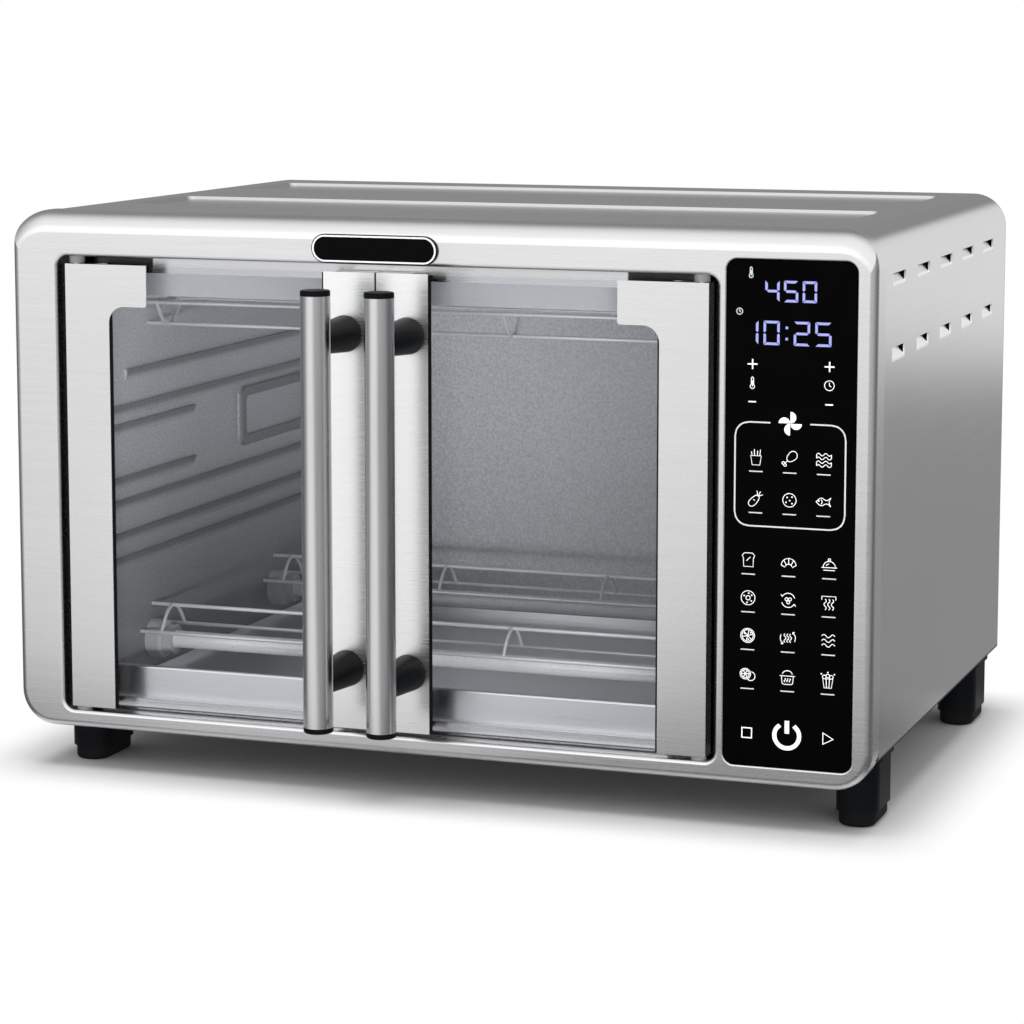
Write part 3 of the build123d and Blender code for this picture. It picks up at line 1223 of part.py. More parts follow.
os.makedirs("parts", exist_ok=True)
for name, piece in NODES.items():
    export_step(piece, "parts/" + name + ".step")
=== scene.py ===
"""Looks of a countertop toaster oven with paired glass doors: finishes, panel print, badge rim, studio.

Metres throughout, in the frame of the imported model: +X right, +Y towards the rear, +Z up.
"""

import functools
import json
import logging
from dataclasses import dataclass, field
from enum import Enum
from math import cos, radians, sin
from typing import Any, Callable, Sequence

import bmesh
import bpy
from mathutils import Matrix, Vector

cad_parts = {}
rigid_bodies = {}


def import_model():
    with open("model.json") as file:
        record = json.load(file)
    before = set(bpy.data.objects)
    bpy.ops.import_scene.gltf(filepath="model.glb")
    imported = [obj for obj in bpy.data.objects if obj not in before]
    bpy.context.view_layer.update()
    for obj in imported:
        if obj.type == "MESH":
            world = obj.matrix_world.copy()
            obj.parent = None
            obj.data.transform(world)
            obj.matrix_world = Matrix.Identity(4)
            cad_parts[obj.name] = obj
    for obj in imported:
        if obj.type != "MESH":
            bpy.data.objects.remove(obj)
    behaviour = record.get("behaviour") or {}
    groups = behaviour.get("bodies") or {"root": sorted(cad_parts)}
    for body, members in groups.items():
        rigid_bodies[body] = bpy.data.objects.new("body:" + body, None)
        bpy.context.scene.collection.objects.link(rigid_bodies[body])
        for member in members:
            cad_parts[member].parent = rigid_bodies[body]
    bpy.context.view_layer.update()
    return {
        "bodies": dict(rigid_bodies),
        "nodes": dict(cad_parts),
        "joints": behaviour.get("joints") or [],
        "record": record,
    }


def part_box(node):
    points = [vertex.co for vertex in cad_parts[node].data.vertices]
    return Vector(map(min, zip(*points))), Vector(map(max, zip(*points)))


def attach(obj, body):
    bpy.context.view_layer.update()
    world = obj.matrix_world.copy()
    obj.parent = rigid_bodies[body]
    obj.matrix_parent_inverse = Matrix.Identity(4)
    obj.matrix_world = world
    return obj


LOG = logging.getLogger("toaster_oven")

RGB = tuple[float, float, float]
Point = tuple[float, float]
WHITE: RGB = (1.0, 1.0, 1.0)


class Grain(Enum):
    """Which way the brushing of a sheet runs."""

    WIDTH = "along X"
    HEIGHT = "along Z"
    WRAPPED = "along X on the roof, and along Y on the sides"


class Ray(Enum):
    """Kinds of ray that see the surroundings and don't just light the object."""

    CAMERA = "Is Camera Ray"
    GLOSSY = "Is Glossy Ray"
    TRANSMISSION = "Is Transmission Ray"

    def mask(self, graph: "Graph") -> "Value":
        """1 for rays of this kind, and 0 for all others.

        Args:
            graph: The tree to build in.

        Returns:
            The mask.
        """
        return graph.node("ShaderNodeLightPath", output=self.value)


# Node graphs


class Value:
    """One output socket, with arithmetic that adds the Math nodes for it."""

    def __init__(self, graph: "Graph", socket: bpy.types.NodeSocket) -> None:
        """Wrap a socket of a graph."""
        self.graph = graph
        self.socket = socket

    def math(self, operation: str, *operands: "Value | float") -> "Value":
        """A Math node on the given operands."""
        return self.graph.node("ShaderNodeMath", {"operation": operation}, dict(enumerate(operands)))

    def __add__(self, other: "Value | float") -> "Value":
        """This value plus another."""
        return self.math("ADD", self, other)

    def __radd__(self, other: float) -> "Value":
        """A number plus this value."""
        return self.math("ADD", other, self)

    def __sub__(self, other: "Value | float") -> "Value":
        """This value less another."""
        return self.math("SUBTRACT", self, other)

    def __rsub__(self, other: float) -> "Value":
        """A number less this value."""
        return self.math("SUBTRACT", other, self)

    def __mul__(self, other: "Value | float") -> "Value":
        """This value times another."""
        return self.math("MULTIPLY", self, other)

    def __rmul__(self, other: float) -> "Value":
        """A number times this value."""
        return self.math("MULTIPLY", other, self)

    def __abs__(self) -> "Value":
        """This value without its sign."""
        return self.math("ABSOLUTE", self)

    def above(self, other: "Value | float") -> "Value":
        """The larger of this value and another."""
        return self.math("MAXIMUM", self, other)

    def towards(self, other: "Value | float", share: "Value") -> "Value":
        """A blend from this value at a share of 0 to another at 1."""
        return self + (other - self) * share

    def between(self, low: float, high: float) -> "Value":
        """A smooth step from 0 at low to 1 at high."""
        limits = {"Value": self, "From Min": low, "From Max": high}
        return self.graph.node("ShaderNodeMapRange", {"interpolation_type": "SMOOTHSTEP"}, limits)


class Graph:
    """The node tree of one material, or of the world."""

    def __init__(self, tree: bpy.types.NodeTree) -> None:
        """Start an empty tree."""
        self.tree = tree
        tree.nodes.clear()

    def node(
        self,
        kind: str,
        settings: dict[str, Any] | None = None,
        inputs: dict[str | int, Any] | None = None,
        output: str | int = 0,
    ) -> Value:
        """Add one node.

        Args:
            kind: The node's type.
            settings: The node's own options, which are set first.
            inputs: Values or links of its sockets, by name or place.
            output: The output to hand back.

        Returns:
            The chosen output of the new node.
        """
        node = self.tree.nodes.new(kind)
        for name, value in (settings or {}).items():
            setattr(node, name, value)
        for key, value in (inputs or {}).items():
            if isinstance(value, Value):
                self.tree.links.new(value.socket, node.inputs[key])
            else:
                node.inputs[key].default_value = value
        return Value(self, node.outputs[output])

    def end(self, kind: str, shader: Value) -> None:
        """Feed a shader to a new output node of the given type."""
        self.tree.links.new(shader.socket, self.tree.nodes.new(kind).inputs["Surface"])

    def place(self, scale: Sequence[float] = (1.0, 1.0, 1.0)) -> Value:
        """The piece's own coordinates in metres, scaled along each axis."""
        plain = self.node("ShaderNodeTexCoord", output="Object")
        return self.node("ShaderNodeMapping", inputs={"Vector": plain, "Scale": tuple(scale)})

    def along(self, axis: str, vector: Value | None = None) -> Value:
        """One axis of a vector, or of the piece's own coordinates where none is given."""
        return self.node("ShaderNodeSeparateXYZ", inputs={0: vector or self.place()}, output=axis)

    def noise(self, vector: Value, detail: float = 2.0) -> Value:
        """Soft noise about 0, with features one unit of the vector wide."""
        made = self.node("ShaderNodeTexNoise", inputs={"Vector": vector, "Scale": 1.0, "Detail": detail})
        return made - 0.5

    def speckle(self, size: float, detail: float = 2.0) -> Value:
        """Noise about 0 with features of the given size in metres."""
        return self.noise(self.place([1 / size] * 3), detail)

    def vector(self, operation: str, *operands: Any, output: str = "Vector") -> Value:
        """A Vector Math node on the given operands."""
        return self.node("ShaderNodeVectorMath", {"operation": operation}, dict(enumerate(operands)), output)

    def tinted(self, colour: RGB, factor: Value) -> Value:
        """A colour made lighter or darker by a factor."""
        return self.node("ShaderNodeVectorMath", {"operation": "SCALE"}, {0: colour, "Scale": factor})

    def relief(self, height: Value, depth: float) -> Value:
        """A normal for a height about 0 whose full swing is a depth in metres."""
        inputs = {"Height": height, "Strength": 1.0, "Distance": depth}
        return self.node("ShaderNodeBump", inputs=inputs, output="Normal")

    def principled(self, inputs: dict[str, Any]) -> Value:
        """A Principled shader with the given sockets."""
        return self.node("ShaderNodeBsdfPrincipled", inputs=inputs)


COLOUR_RESULT = 2  # a Mix node's outputs are a number, a vector and a colour


def rgba(colour: RGB) -> tuple[float, float, float, float]:
    """A colour with full opacity, as a colour socket takes it."""
    return (*colour, 1.0)


# Finishes


@dataclass(frozen=True)
class Finish:
    """A named surface finish."""

    name: str

    def surface(self, graph: Graph) -> Value:
        """Build the finish's shader.

        Args:
            graph: The tree to build in.

        Returns:
            The shader's output.
        """
        raise NotImplementedError


@functools.cache
def material_of(finish: Finish) -> bpy.types.Material:
    """The material of a finish, made once.

    Args:
        finish: The finish to show.

    Returns:
        Its material.
    """
    made = bpy.data.materials.new(finish.name)
    made.use_nodes = True
    graph = Graph(made.node_tree)
    graph.end("ShaderNodeOutputMaterial", finish.surface(graph))
    return made


@dataclass(frozen=True)
class BrushedSteel(Finish):
    """Stainless steel with fine brush lines that run one way.

    Attributes:
        grain: Which way they run.
        colour: The bare steel's colour.
        roughness: Its mean roughness.
        roughness_swing: How far the fine lines change it.
        anisotropy: How far the lines draw out a highlight.
        anisotropy_turn: Which way they draw it, in turns.
        line: Width of a fine line.
        length: Length of a fine line.
        contrast: How far the lines change the tone.
        depth: How deep the fine lines are.
        broad_line: Width of a broad line, in fine ones.
        broad_length: Length of a broad line, in fine ones.
        broad_share: How strong the broad lines are beside the fine ones.
        drift: Size of the slow drifts of tone and roughness.
        drift_share: How far they change both.
        facing: From where to where a wrapped sheet turns from roof to side, as the normal's share along X.
    """

    grain: Grain = Grain.WIDTH
    colour: RGB = (0.76, 0.76, 0.77)
    roughness: float = 0.26
    roughness_swing: float = 0.12
    anisotropy: float = 0.5
    anisotropy_turn: float = 0.25
    line: float = 0.0006
    length: float = 0.05
    contrast: float = 0.09
    depth: float = 0.0000011
    broad_line: float = 6.0
    broad_length: float = 5.0
    broad_share: float = 0.6
    drift: float = 0.09
    drift_share: float = 0.05
    facing: tuple[float, float] = (0.5, 0.9)

    def lines(self, graph: Graph, line: float, length: float) -> Value:
        """Noise about 0, drawn out along the grain.

        Args:
            graph: The tree to build in.
            line: Width of a brush line.
            length: Length of a brush line.

        Returns:
            The noise.
        """
        across, along = 1 / line, 1 / length
        width, depth = (along, across, across), (across, along, across)
        if self.grain is Grain.WRAPPED:
            roof, sides = (graph.noise(graph.place(scale)) for scale in (width, depth))
            normal = graph.node("ShaderNodeNewGeometry", output="Normal")
            return roof.towards(sides, abs(graph.along("X", normal)).between(*self.facing))
        return graph.noise(graph.place(width if self.grain is Grain.WIDTH else (across, across, along)))

    def unshaded(self, graph: Graph) -> Value | float:
        """How much of the steel is free of painted shade, which is all of it.

        Args:
            graph: The tree to build in.

        Returns:
            1 where the steel is free of painted shade, and 0 where painted shade turns it black.
        """
        return 1.0

    def painted_highlight(self, graph: Graph) -> Value | float:
        """The painted highlight on the steel, which is none: it is the same all over.

        Args:
            graph: The tree to build in.

        Returns:
            The factor that the steel's tone takes.
        """
        return 1.0

    def surface(self, graph: Graph) -> Value:
        """Brush lines in tone, roughness and relief."""
        fine = self.lines(graph, self.line, self.length)
        broad = self.lines(graph, self.line * self.broad_line, self.length * self.broad_length)
        drift = self.drift_share * graph.speckle(self.drift)
        # painted shade of subclasses blacks the steel out; their painted highlight brightens it
        unshaded = self.unshaded(graph)
        tone = (1 + self.contrast * (fine + self.broad_share * broad) + drift) * self.painted_highlight(graph)
        return graph.principled({
            "Base Color": graph.tinted(self.colour, tone * unshaded),
            "Metallic": unshaded,
            "Roughness": self.roughness + self.roughness_swing * fine + drift,
            "Anisotropic": self.anisotropy,
            "Anisotropic Rotation": self.anisotropy_turn,
            "Normal": graph.relief(fine, self.depth),
        })


@dataclass(frozen=True)
class GapShadedSteel(BrushedSteel):
    """Brushed steel of the cavity's front frame, with painted shade of the door gap, drawn as black, beside
    the hinges.

    Attributes:
        sides: Left and right limits between which the frame is free of the painted shade.
        corners: The same limits above the corner height.
        corner_height: Where the painted shade turns in over the hook tabs.
        sill_height: Where it ends along the foot of the doors.
        edge: Half the width over which the painted shade gives way to steel.
    """

    sides: tuple[float, float] = (-0.2, 0.146)
    corners: tuple[float, float] = (-0.165, 0.109)
    corner_height: float = 0.262
    sill_height: float = 0.0357
    edge: float = 0.0005

    def unshaded(self, graph: Graph) -> Value:
        """The steel above the sill, between the two sides of the painted shade in the door gap."""
        across, up = (graph.along(axis) for axis in "XZ")
        high = up.between(self.corner_height, self.corner_height + 2 * self.edge)
        left, right = (side + (corner - side) * high for side, corner in zip(self.sides, self.corners))
        past = (left - across).above(across - right).above(self.sill_height - up)
        return 1 - past.between(-self.edge, self.edge)


@dataclass(frozen=True)
class ShellSteel(BrushedSteel):
    """Brushed steel of the shell, with painted shade in its seam with the fascia and a painted highlight in
    its pressed louvres.

    Attributes:
        seam: How far back the seam's painted shade, drawn as black, starts to lift, and where it has lifted.
        side_face: How far out the side stands where it isn't pressed in.
        louvre_reach: How far in from there a louvre can lie.
        louvre_top: The height below which the louvres lie.
        louvre_painted_highlight: How bright the painted highlight makes a louvre.
        press: How far in the painted highlight starts, and where it is full.
        fade: Over what distance it ends.
    """

    seam: tuple[float, float] = (-0.1291, -0.1284)
    side_face: float = 0.2445
    louvre_reach: float = 0.02
    louvre_top: float = 0.285
    louvre_painted_highlight: float = 1.3
    press: tuple[float, float] = (0.0002, 0.0006)
    fade: float = 0.001

    def unshaded(self, graph: Graph) -> Value:
        """The steel behind the seam, with painted shade in the seam itself."""
        return graph.along("Y").between(*self.seam)

    def painted_highlight(self, graph: Graph) -> Value:
        """Painted highlight where the side is pressed in."""
        across, up = (graph.along(axis) for axis in "XZ")
        inward = self.side_face - across
        pressed = inward.between(*self.press) * (self.louvre_reach - inward).between(0.0, self.fade)
        low = (self.louvre_top - up).between(0.0, self.fade)
        return 1 + (self.louvre_painted_highlight - 1) * (pressed * low)


@dataclass(frozen=True)
class CoatedSheet(Finish):
    """Plain coated sheet with a fine spangle, and painted shade low down.

    Attributes:
        colour: The sheet's colour.
        roughness: Its mean roughness.
        roughness_swings: How far the spangle and the drifts change it.
        spangle: Size of a fleck.
        spangle_detail: How broken up the flecks are.
        metallic: How metallic the sheet is.
        contrast: How far the spangle changes the tone.
        depth: How deep the spangle is.
        drift: Size of the slow drifts of tone.
        drift_share: How far they change it.
        painted_low_tone: The tone of the painted shade low down.
        painted_shade_band: The heights between which the painted shade lifts and the tone rises to full.
    """

    colour: RGB = (0.78, 0.79, 0.81)
    roughness: float = 0.42
    roughness_swings: tuple[float, float] = (0.15, 0.1)
    spangle: float = 0.0014
    spangle_detail: float = 3.0
    metallic: float = 0.35
    contrast: float = 0.9
    depth: float = 0.00001
    drift: float = 0.06
    drift_share: float = 0.15
    painted_low_tone: float = 0.75
    painted_shade_band: tuple[float, float] = (0.04, 0.22)

    def shade(self, graph: Graph) -> Value:
        """Painted shade: tone that falls off low down.

        Args:
            graph: The tree to build in.

        Returns:
            The factor that the sheet's tone takes.
        """
        return self.painted_low_tone + (1 - self.painted_low_tone) * graph.along("Z").between(*self.painted_shade_band)

    def surface(self, graph: Graph) -> Value:
        """Fine spangle over slow drifts of tone, with painted shade low down."""
        fine = graph.speckle(self.spangle, self.spangle_detail)
        drift = graph.speckle(self.drift)
        fine_swing, drift_swing = self.roughness_swings
        tone = 1 + self.contrast * fine + self.drift_share * drift
        return graph.principled({
            "Base Color": graph.tinted(self.colour, tone * self.shade(graph)),
            "Metallic": self.metallic,
            "Roughness": self.roughness + fine_swing * fine + drift_swing * drift,
            "Normal": graph.relief(fine, self.depth),
        })


@dataclass(frozen=True)
class RibbedSheet(CoatedSheet):
    """Coated side wall with painted shade on its rack ribs.

    Attributes:
        middle: Where the middle of the cavity lies across the oven.
        wall: How far the wall between the ribs stands from it.
        rise: How far from the wall the painted shade on a rib is deepest.
        foot: How far from the wall a rib is still free of painted shade.
        rib_painted_tone: The tone of the painted shade on a rib where it is deepest.
    """

    middle: float = -0.02795
    wall: float = 0.16935
    rise: float = 0.0022
    foot: float = 0.0003
    rib_painted_tone: float = 0.45
    # the side walls take a deeper painted shade low down
    painted_low_tone: float = 0.3

    def shade(self, graph: Graph) -> Value:
        """Painted shade low down and on the ribs."""
        offset = abs(graph.along("X") - self.middle)
        unshaded = offset.between(self.wall - self.rise, self.wall - self.foot)
        return super().shade(graph) * (self.rib_painted_tone + (1 - self.rib_painted_tone) * unshaded)


@dataclass(frozen=True)
class PlatedSteel(Finish):
    """Bright plated wire and small steel parts.

    Attributes:
        colour: The plating's colour.
        roughness: Its mean roughness.
        metallic: How metallic it is.
        mark: Size of a drawing mark.
        swing: How far the marks change tone and roughness.
    """

    colour: RGB = (0.72, 0.72, 0.73)
    roughness: float = 0.16
    metallic: float = 1.0
    mark: float = 0.003
    swing: float = 0.12

    def surface(self, graph: Graph) -> Value:
        """Bright metal with faint drawing marks."""
        marks = self.swing * graph.speckle(self.mark)
        return graph.principled({
            "Base Color": graph.tinted(self.colour, 1 + marks),
            "Metallic": self.metallic,
            "Roughness": self.roughness + marks,
        })


@dataclass(frozen=True)
class HeaterSheath(Finish):
    """Satin metal sheath of a heater, browned in drifts along its length.

    Attributes:
        colour: The clean sheath's colour.
        scorched: Its colour where it is browned.
        drift: Drifts per metre along each axis.
        browning: Between which levels of the drifts the browning comes in.
        metallic: How metallic the sheath is.
        roughness: Its mean roughness.
        roughness_swing: How far the grain changes it.
        grain: Size of the grain.
        depth: How deep the grain is.
    """

    colour: RGB = (0.97, 0.97, 0.965)
    scorched: RGB = (0.86, 0.85, 0.84)
    drift: tuple[float, float, float] = (14.0, 30.0, 30.0)
    browning: tuple[float, float] = (-0.1, 0.25)
    metallic: float = 0.15
    roughness: float = 0.3
    roughness_swing: float = 0.2
    grain: float = 0.0012
    depth: float = 0.00001

    def surface(self, graph: Graph) -> Value:
        """Satin metal with scorched drifts along X."""
        browned = graph.noise(graph.place(self.drift)).between(*self.browning)
        fine = graph.speckle(self.grain)
        blend = {"Factor": browned, "A": rgba(self.colour), "B": rgba(self.scorched)}
        return graph.principled({
            "Base Color": graph.node("ShaderNodeMix", {"data_type": "RGBA"}, blend, COLOUR_RESULT),
            "Metallic": self.metallic,
            "Roughness": self.roughness + self.roughness_swing * fine,
            "Normal": graph.relief(fine, self.depth),
        })


@dataclass(frozen=True)
class Moulded(Finish):
    """Moulded plastic, rubber or ceramic with a fine skin.

    Attributes:
        colour: The piece's colour.
        roughness: Its mean roughness.
        roughness_swings: How far the pebble and the patches change it.
        shine: How much it mirrors.
        pebble: Size of the skin's pebble.
        patch: Size of the slow patches.
        depth: How deep the pebble is.
        mottle: How far both change the tone.
    """

    colour: RGB = (0.012, 0.013, 0.015)
    roughness: float = 0.42
    roughness_swings: tuple[float, float] = (0.1, 0.08)
    shine: float = 0.4
    pebble: float = 0.0009
    patch: float = 0.02
    depth: float = 0.00002
    mottle: float = 0.25

    def surface(self, graph: Graph) -> Value:
        """Fine pebble in relief and roughness, and a slow mottle in tone."""
        fine = graph.speckle(self.pebble)
        slow = graph.speckle(self.patch)
        fine_swing, slow_swing = self.roughness_swings
        return graph.principled({
            "Base Color": graph.tinted(self.colour, 1 + self.mottle * (fine + slow)),
            "Roughness": self.roughness + fine_swing * fine + slow_swing * slow,
            "Specular IOR Level": self.shine,
            "Normal": graph.relief(fine, self.depth),
        })


@dataclass(frozen=True)
class PolishedBlack(Finish):
    """Black polished glass or lacquer."""

    colour: RGB = (0.0012, 0.0012, 0.0014)
    shine: float = 0.012
    haze: float = 0.03
    contrast: float = 0.5
    roughness: float = 0.07
    roughness_swing: float = 0.05

    def surface(self, graph: Graph) -> Value:
        """Deep black with a barely uneven gloss."""
        haze = graph.speckle(self.haze)
        return graph.principled({
            "Base Color": graph.tinted(self.colour, 1 + self.contrast * haze),
            "Roughness": self.roughness + self.roughness_swing * haze,
            "Specular IOR Level": self.shine,
        })


@dataclass(frozen=True)
class DoorGlass(Finish):
    """Lightly tinted clear pane that mirrors more at a slant.

    Attributes:
        tint: What the pane lets through.
        silver: The colour of what it mirrors.
        mirror: How strongly it mirrors.
        index: Its index of refraction.
        patch: Size of the faint patches in its mirror.
        patch_share: How far they change its tone.
        wipe: Size of the faint wipe marks.
        roughness: The mirror's mean roughness.
        roughness_swing: How far the wipe marks change it.
    """

    tint: RGB = (0.95, 0.957, 0.965)
    silver: RGB = (0.9, 0.91, 0.92)
    mirror: float = 0.4
    index: float = 1.5
    patch: float = 0.05
    patch_share: float = 0.06
    wipe: float = 0.02
    roughness: float = 0.03
    roughness_swing: float = 0.02

    def surface(self, graph: Graph) -> Value:
        """A see-through tint mixed with a mirror by the angle of sight."""
        clear = graph.node("ShaderNodeBsdfTransparent", inputs={"Color": rgba(self.tint)})
        gloss = graph.principled({
            "Base Color": graph.tinted(self.silver, 1 + self.patch_share * graph.speckle(self.patch)),
            "Metallic": 1.0,
            "Roughness": self.roughness + self.roughness_swing * graph.speckle(self.wipe),
        })
        slant = graph.node("ShaderNodeFresnel", inputs={"IOR": self.index})
        return graph.node("ShaderNodeMixShader", inputs={0: self.mirror * slant, 1: clear, 2: gloss})


@dataclass(frozen=True)
class Printed(Finish):
    """Pale print on the panel, lit from behind."""

    colour: RGB = (0.8, 0.81, 0.83)
    glow: float = 0.35
    mesh: float = 0.0008
    contrast: float = 0.15
    grain: float = 0.0015
    roughness: float = 0.5
    roughness_swing: float = 0.1

    def surface(self, graph: Graph) -> Value:
        """Ink with a faint screen unevenness and a low glow."""
        inked = graph.tinted(self.colour, 1 + self.contrast * graph.speckle(self.mesh))
        return graph.principled({
            "Base Color": inked,
            "Roughness": self.roughness + self.roughness_swing * graph.speckle(self.grain),
            "Emission Color": inked,
            "Emission Strength": self.glow,
        })


@dataclass(frozen=True)
class Lit(Finish):
    """A lit segment of the display."""

    colour: RGB = (0.4, 0.43, 0.95)
    unlit: RGB = (0.02, 0.02, 0.03)
    roughness: float = 0.3
    glow: float = 1.0
    patch: float = 0.002
    contrast: float = 0.5

    def surface(self, graph: Graph) -> Value:
        """Light that is a little uneven along a segment."""
        uneven = 1 + self.contrast * graph.speckle(self.patch)
        return graph.principled({
            "Base Color": rgba(self.unlit),
            "Roughness": self.roughness,
            "Emission Color": graph.tinted(self.colour, uneven),
            "Emission Strength": self.glow,
        })


@dataclass(frozen=True)
class SolderMask(Finish):
    """A circuit board's green mask over copper runs.

    Attributes:
        colour: The mask's colour.
        run: Width of a copper run.
        run_length: How far it keeps on.
        run_edge: Between which levels of the weave a run starts.
        contrast: How much paler the mask is over a run.
        roughness: The mask's roughness.
        roughness_drop: How much smoother it is over a run.
        depth: How far a run stands up.
    """

    colour: RGB = (0.02, 0.12, 0.05)
    run: float = 0.004
    run_length: float = 0.05
    run_edge: tuple[float, float] = (0.05, 0.09)
    contrast: float = 0.6
    roughness: float = 0.35
    roughness_drop: float = 0.1
    depth: float = 0.00004

    def surface(self, graph: Graph) -> Value:
        """Slightly raised, paler runs in a crossed weave."""
        across, along = 1 / self.run, 1 / self.run_length
        scales = ((along, along, across), (across, along, along))
        level, upright = (graph.noise(graph.place(scale), 0.0) for scale in scales)
        runs = level.above(upright).between(*self.run_edge)
        return graph.principled({
            "Base Color": graph.tinted(self.colour, 1 + self.contrast * runs),
            "Roughness": self.roughness - self.roughness_drop * runs,
            "Normal": graph.relief(runs, self.depth),
        })


@dataclass(frozen=True)
class LaminatedCore(Finish):
    """Stacked sheets of a motor's core.

    Attributes:
        colour: The sheets' colour.
        sheet: Thickness of a sheet.
        spread: Changes per metre along a sheet.
        contrast: How far the sheets differ in tone.
        metallic: How metallic they are.
        roughness: Their mean roughness.
        roughness_swing: How far they differ in it.
        depth: How deep their edges are.
    """

    colour: RGB = (0.26, 0.26, 0.28)
    sheet: float = 0.0008
    spread: float = 3.0
    contrast: float = 0.8
    metallic: float = 0.8
    roughness: float = 0.5
    roughness_swing: float = 0.2
    depth: float = 0.00005

    def surface(self, graph: Graph) -> Value:
        """Sheet edges as fine lines across X."""
        edges = graph.noise(graph.place((1 / self.sheet, self.spread, self.spread)), 0.0)
        return graph.principled({
            "Base Color": graph.tinted(self.colour, 1 + self.contrast * edges),
            "Metallic": self.metallic,
            "Roughness": self.roughness + self.roughness_swing * edges,
            "Normal": graph.relief(edges, self.depth),
        })


@dataclass(frozen=True)
class Glow:
    """A soft pale patch of the studio, as metal and glass mirror it.

    Attributes:
        heading: Direction of its middle, seen from the object.
        inner: Angle from the middle, in degrees, up to which it is full.
        outer: Angle at which it ends.
        strength: How much it adds.
    """

    heading: tuple[float, float, float]
    inner: float
    outer: float
    strength: float

    def seen(self, graph: Graph, direction: Value) -> Value:
        """What it adds in a direction.

        Args:
            graph: The tree to build in.
            direction: The direction, of length 1.

        Returns:
            The added brightness.
        """
        middle = tuple(Vector(self.heading).normalized())
        along = graph.vector("DOT_PRODUCT", direction, middle, output="Value")
        return self.strength * along.between(cos(radians(self.outer)), cos(radians(self.inner)))


WIDE_GLOW = Glow(heading=(0.0, -1.0, 0.0), inner=0, outer=130, strength=0.26)
FRONT_GLOW = Glow(heading=(-0.375, -0.927, 0.0), inner=10, outer=36, strength=0.48)
SIDE_GLOW = Glow(heading=(0.55, 0.83, 0.0), inner=15, outer=45, strength=0.19)
REAR_GLOW = Glow(heading=(0.337, 0.941, 0.05), inner=14, outer=21, strength=0.55)
TOP_GLOW = Glow(heading=(0.0, -0.707, 0.707), inner=20, outer=75, strength=0.62)


@dataclass(frozen=True)
class PaleFloor(Finish):
    """Plain white floor: lit and shaded under and near the object, and plain white further off.

    Attributes:
        colour: The lit floor's colour.
        drift: Size of its slow drifts of tone.
        drift_share: How far they change it.
        roughness: Its roughness.
        middle: Middle of the object's foot.
        half: Half the size of the foot.
        far: How far from the foot the floor is plain white.
        ahead: How far forward the painted shade on the mirrored floor starts to lift, and where it has
            lifted.
        beside: The same towards the rear.
        painted_near_tone: The tone of the painted shade on the mirrored floor in between.
        dim: Its least brightness.
        rear: How far from the foot the rear glow comes in, and where it is full.
    """

    colour: RGB = (0.93, 0.93, 0.935)
    drift: float = 0.2
    drift_share: float = 0.02
    roughness: float = 0.9
    middle: tuple[float, float, float] = (0.0, 0.02, 0.0)
    half: tuple[float, float, float] = (0.245, 0.17, 1.0)
    far: float = 0.045
    ahead: tuple[float, float] = (-0.2, -0.45)
    beside: tuple[float, float] = (-0.15, 0.05)
    painted_near_tone: float = 0.42
    dim: float = 0.1
    rear: tuple[float, float] = (1.4, 2.4)

    def surface(self, graph: Graph) -> Value:
        """A matt floor that gives way to the studio's own tones for rays that see the surroundings."""
        matt = graph.principled({
            "Base Color": graph.tinted(self.colour, 1 + self.drift_share * graph.speckle(self.drift)),
            "Roughness": self.roughness,
            "Specular IOR Level": 0.0,
        })
        place = graph.vector("SUBTRACT", graph.place(), self.middle)
        outside = graph.vector("SUBTRACT", graph.vector("ABSOLUTE", place), self.half)
        gap = graph.vector("LENGTH", graph.vector("MAXIMUM", outside, (0.0, 0.0, 0.0)), output="Value")
        glossy = Ray.GLOSSY.mask(graph)
        tone = graph.tinted(WHITE, 1 - glossy * (1 - self.mirrored(graph, gap)))
        plain = graph.node("ShaderNodeEmission", inputs={"Color": tone, "Strength": 1.0})
        seen = Ray.CAMERA.mask(graph).above(Ray.TRANSMISSION.mask(graph)).above(glossy)
        share = seen * gap.between(0.0, self.far)
        return graph.node("ShaderNodeMixShader", inputs={0: share, 1: matt, 2: plain})

    def mirrored(self, graph: Graph, gap: Value) -> Value:
        """The floor's tone as metal and glass mirror it, with painted shade just in front of the object.

        Args:
            graph: The tree to build in.
            gap: Distance from the object's foot.

        Returns:
            The brightness.
        """
        heading = graph.vector("NORMALIZE", graph.place())
        wide, front, side = (glow.seen(graph, heading) for glow in (WIDE_GLOW, FRONT_GLOW, SIDE_GLOW))
        level = self.dim + wide + front + side + REAR_GLOW.seen(graph, heading) * gap.between(*self.rear)
        depth = graph.along("Y")
        clear = depth.between(*self.ahead).above(depth.between(*self.beside))
        # painted shade: the mirrored floor is darker just in front of the object
        return level * (self.painted_near_tone + (1 - self.painted_near_tone) * clear)


STEEL = BrushedSteel("brushed_steel")
STILE_STEEL = BrushedSteel("brushed_stile_steel", colour=(0.94, 0.94, 0.945), contrast=0.07, depth=0.0000008)
# shell: painted shade in its seam with the fascia, painted highlight in its louvres
SHELL_STEEL = ShellSteel(
    "brushed_shell_steel", grain=Grain.WRAPPED, anisotropy=0.0, roughness=0.22,
    line=0.0004, length=0.08, depth=0.0000006)
TUBE_STEEL = BrushedSteel("brushed_tube_steel", grain=Grain.HEIGHT, anisotropy=0.0, roughness=0.24)
# cavity sheet: painted shade towards the bottom
CAVITY_SHEET = CoatedSheet("cavity_sheet")
# side walls: painted shade on the rack ribs and low down
WALL_SHEET = RibbedSheet("ribbed_sheet")
OUTER_SHEET = CoatedSheet("rear_sheet", colour=(0.45, 0.45, 0.46), spangle=0.004, metallic=1.0, painted_low_tone=1.0)
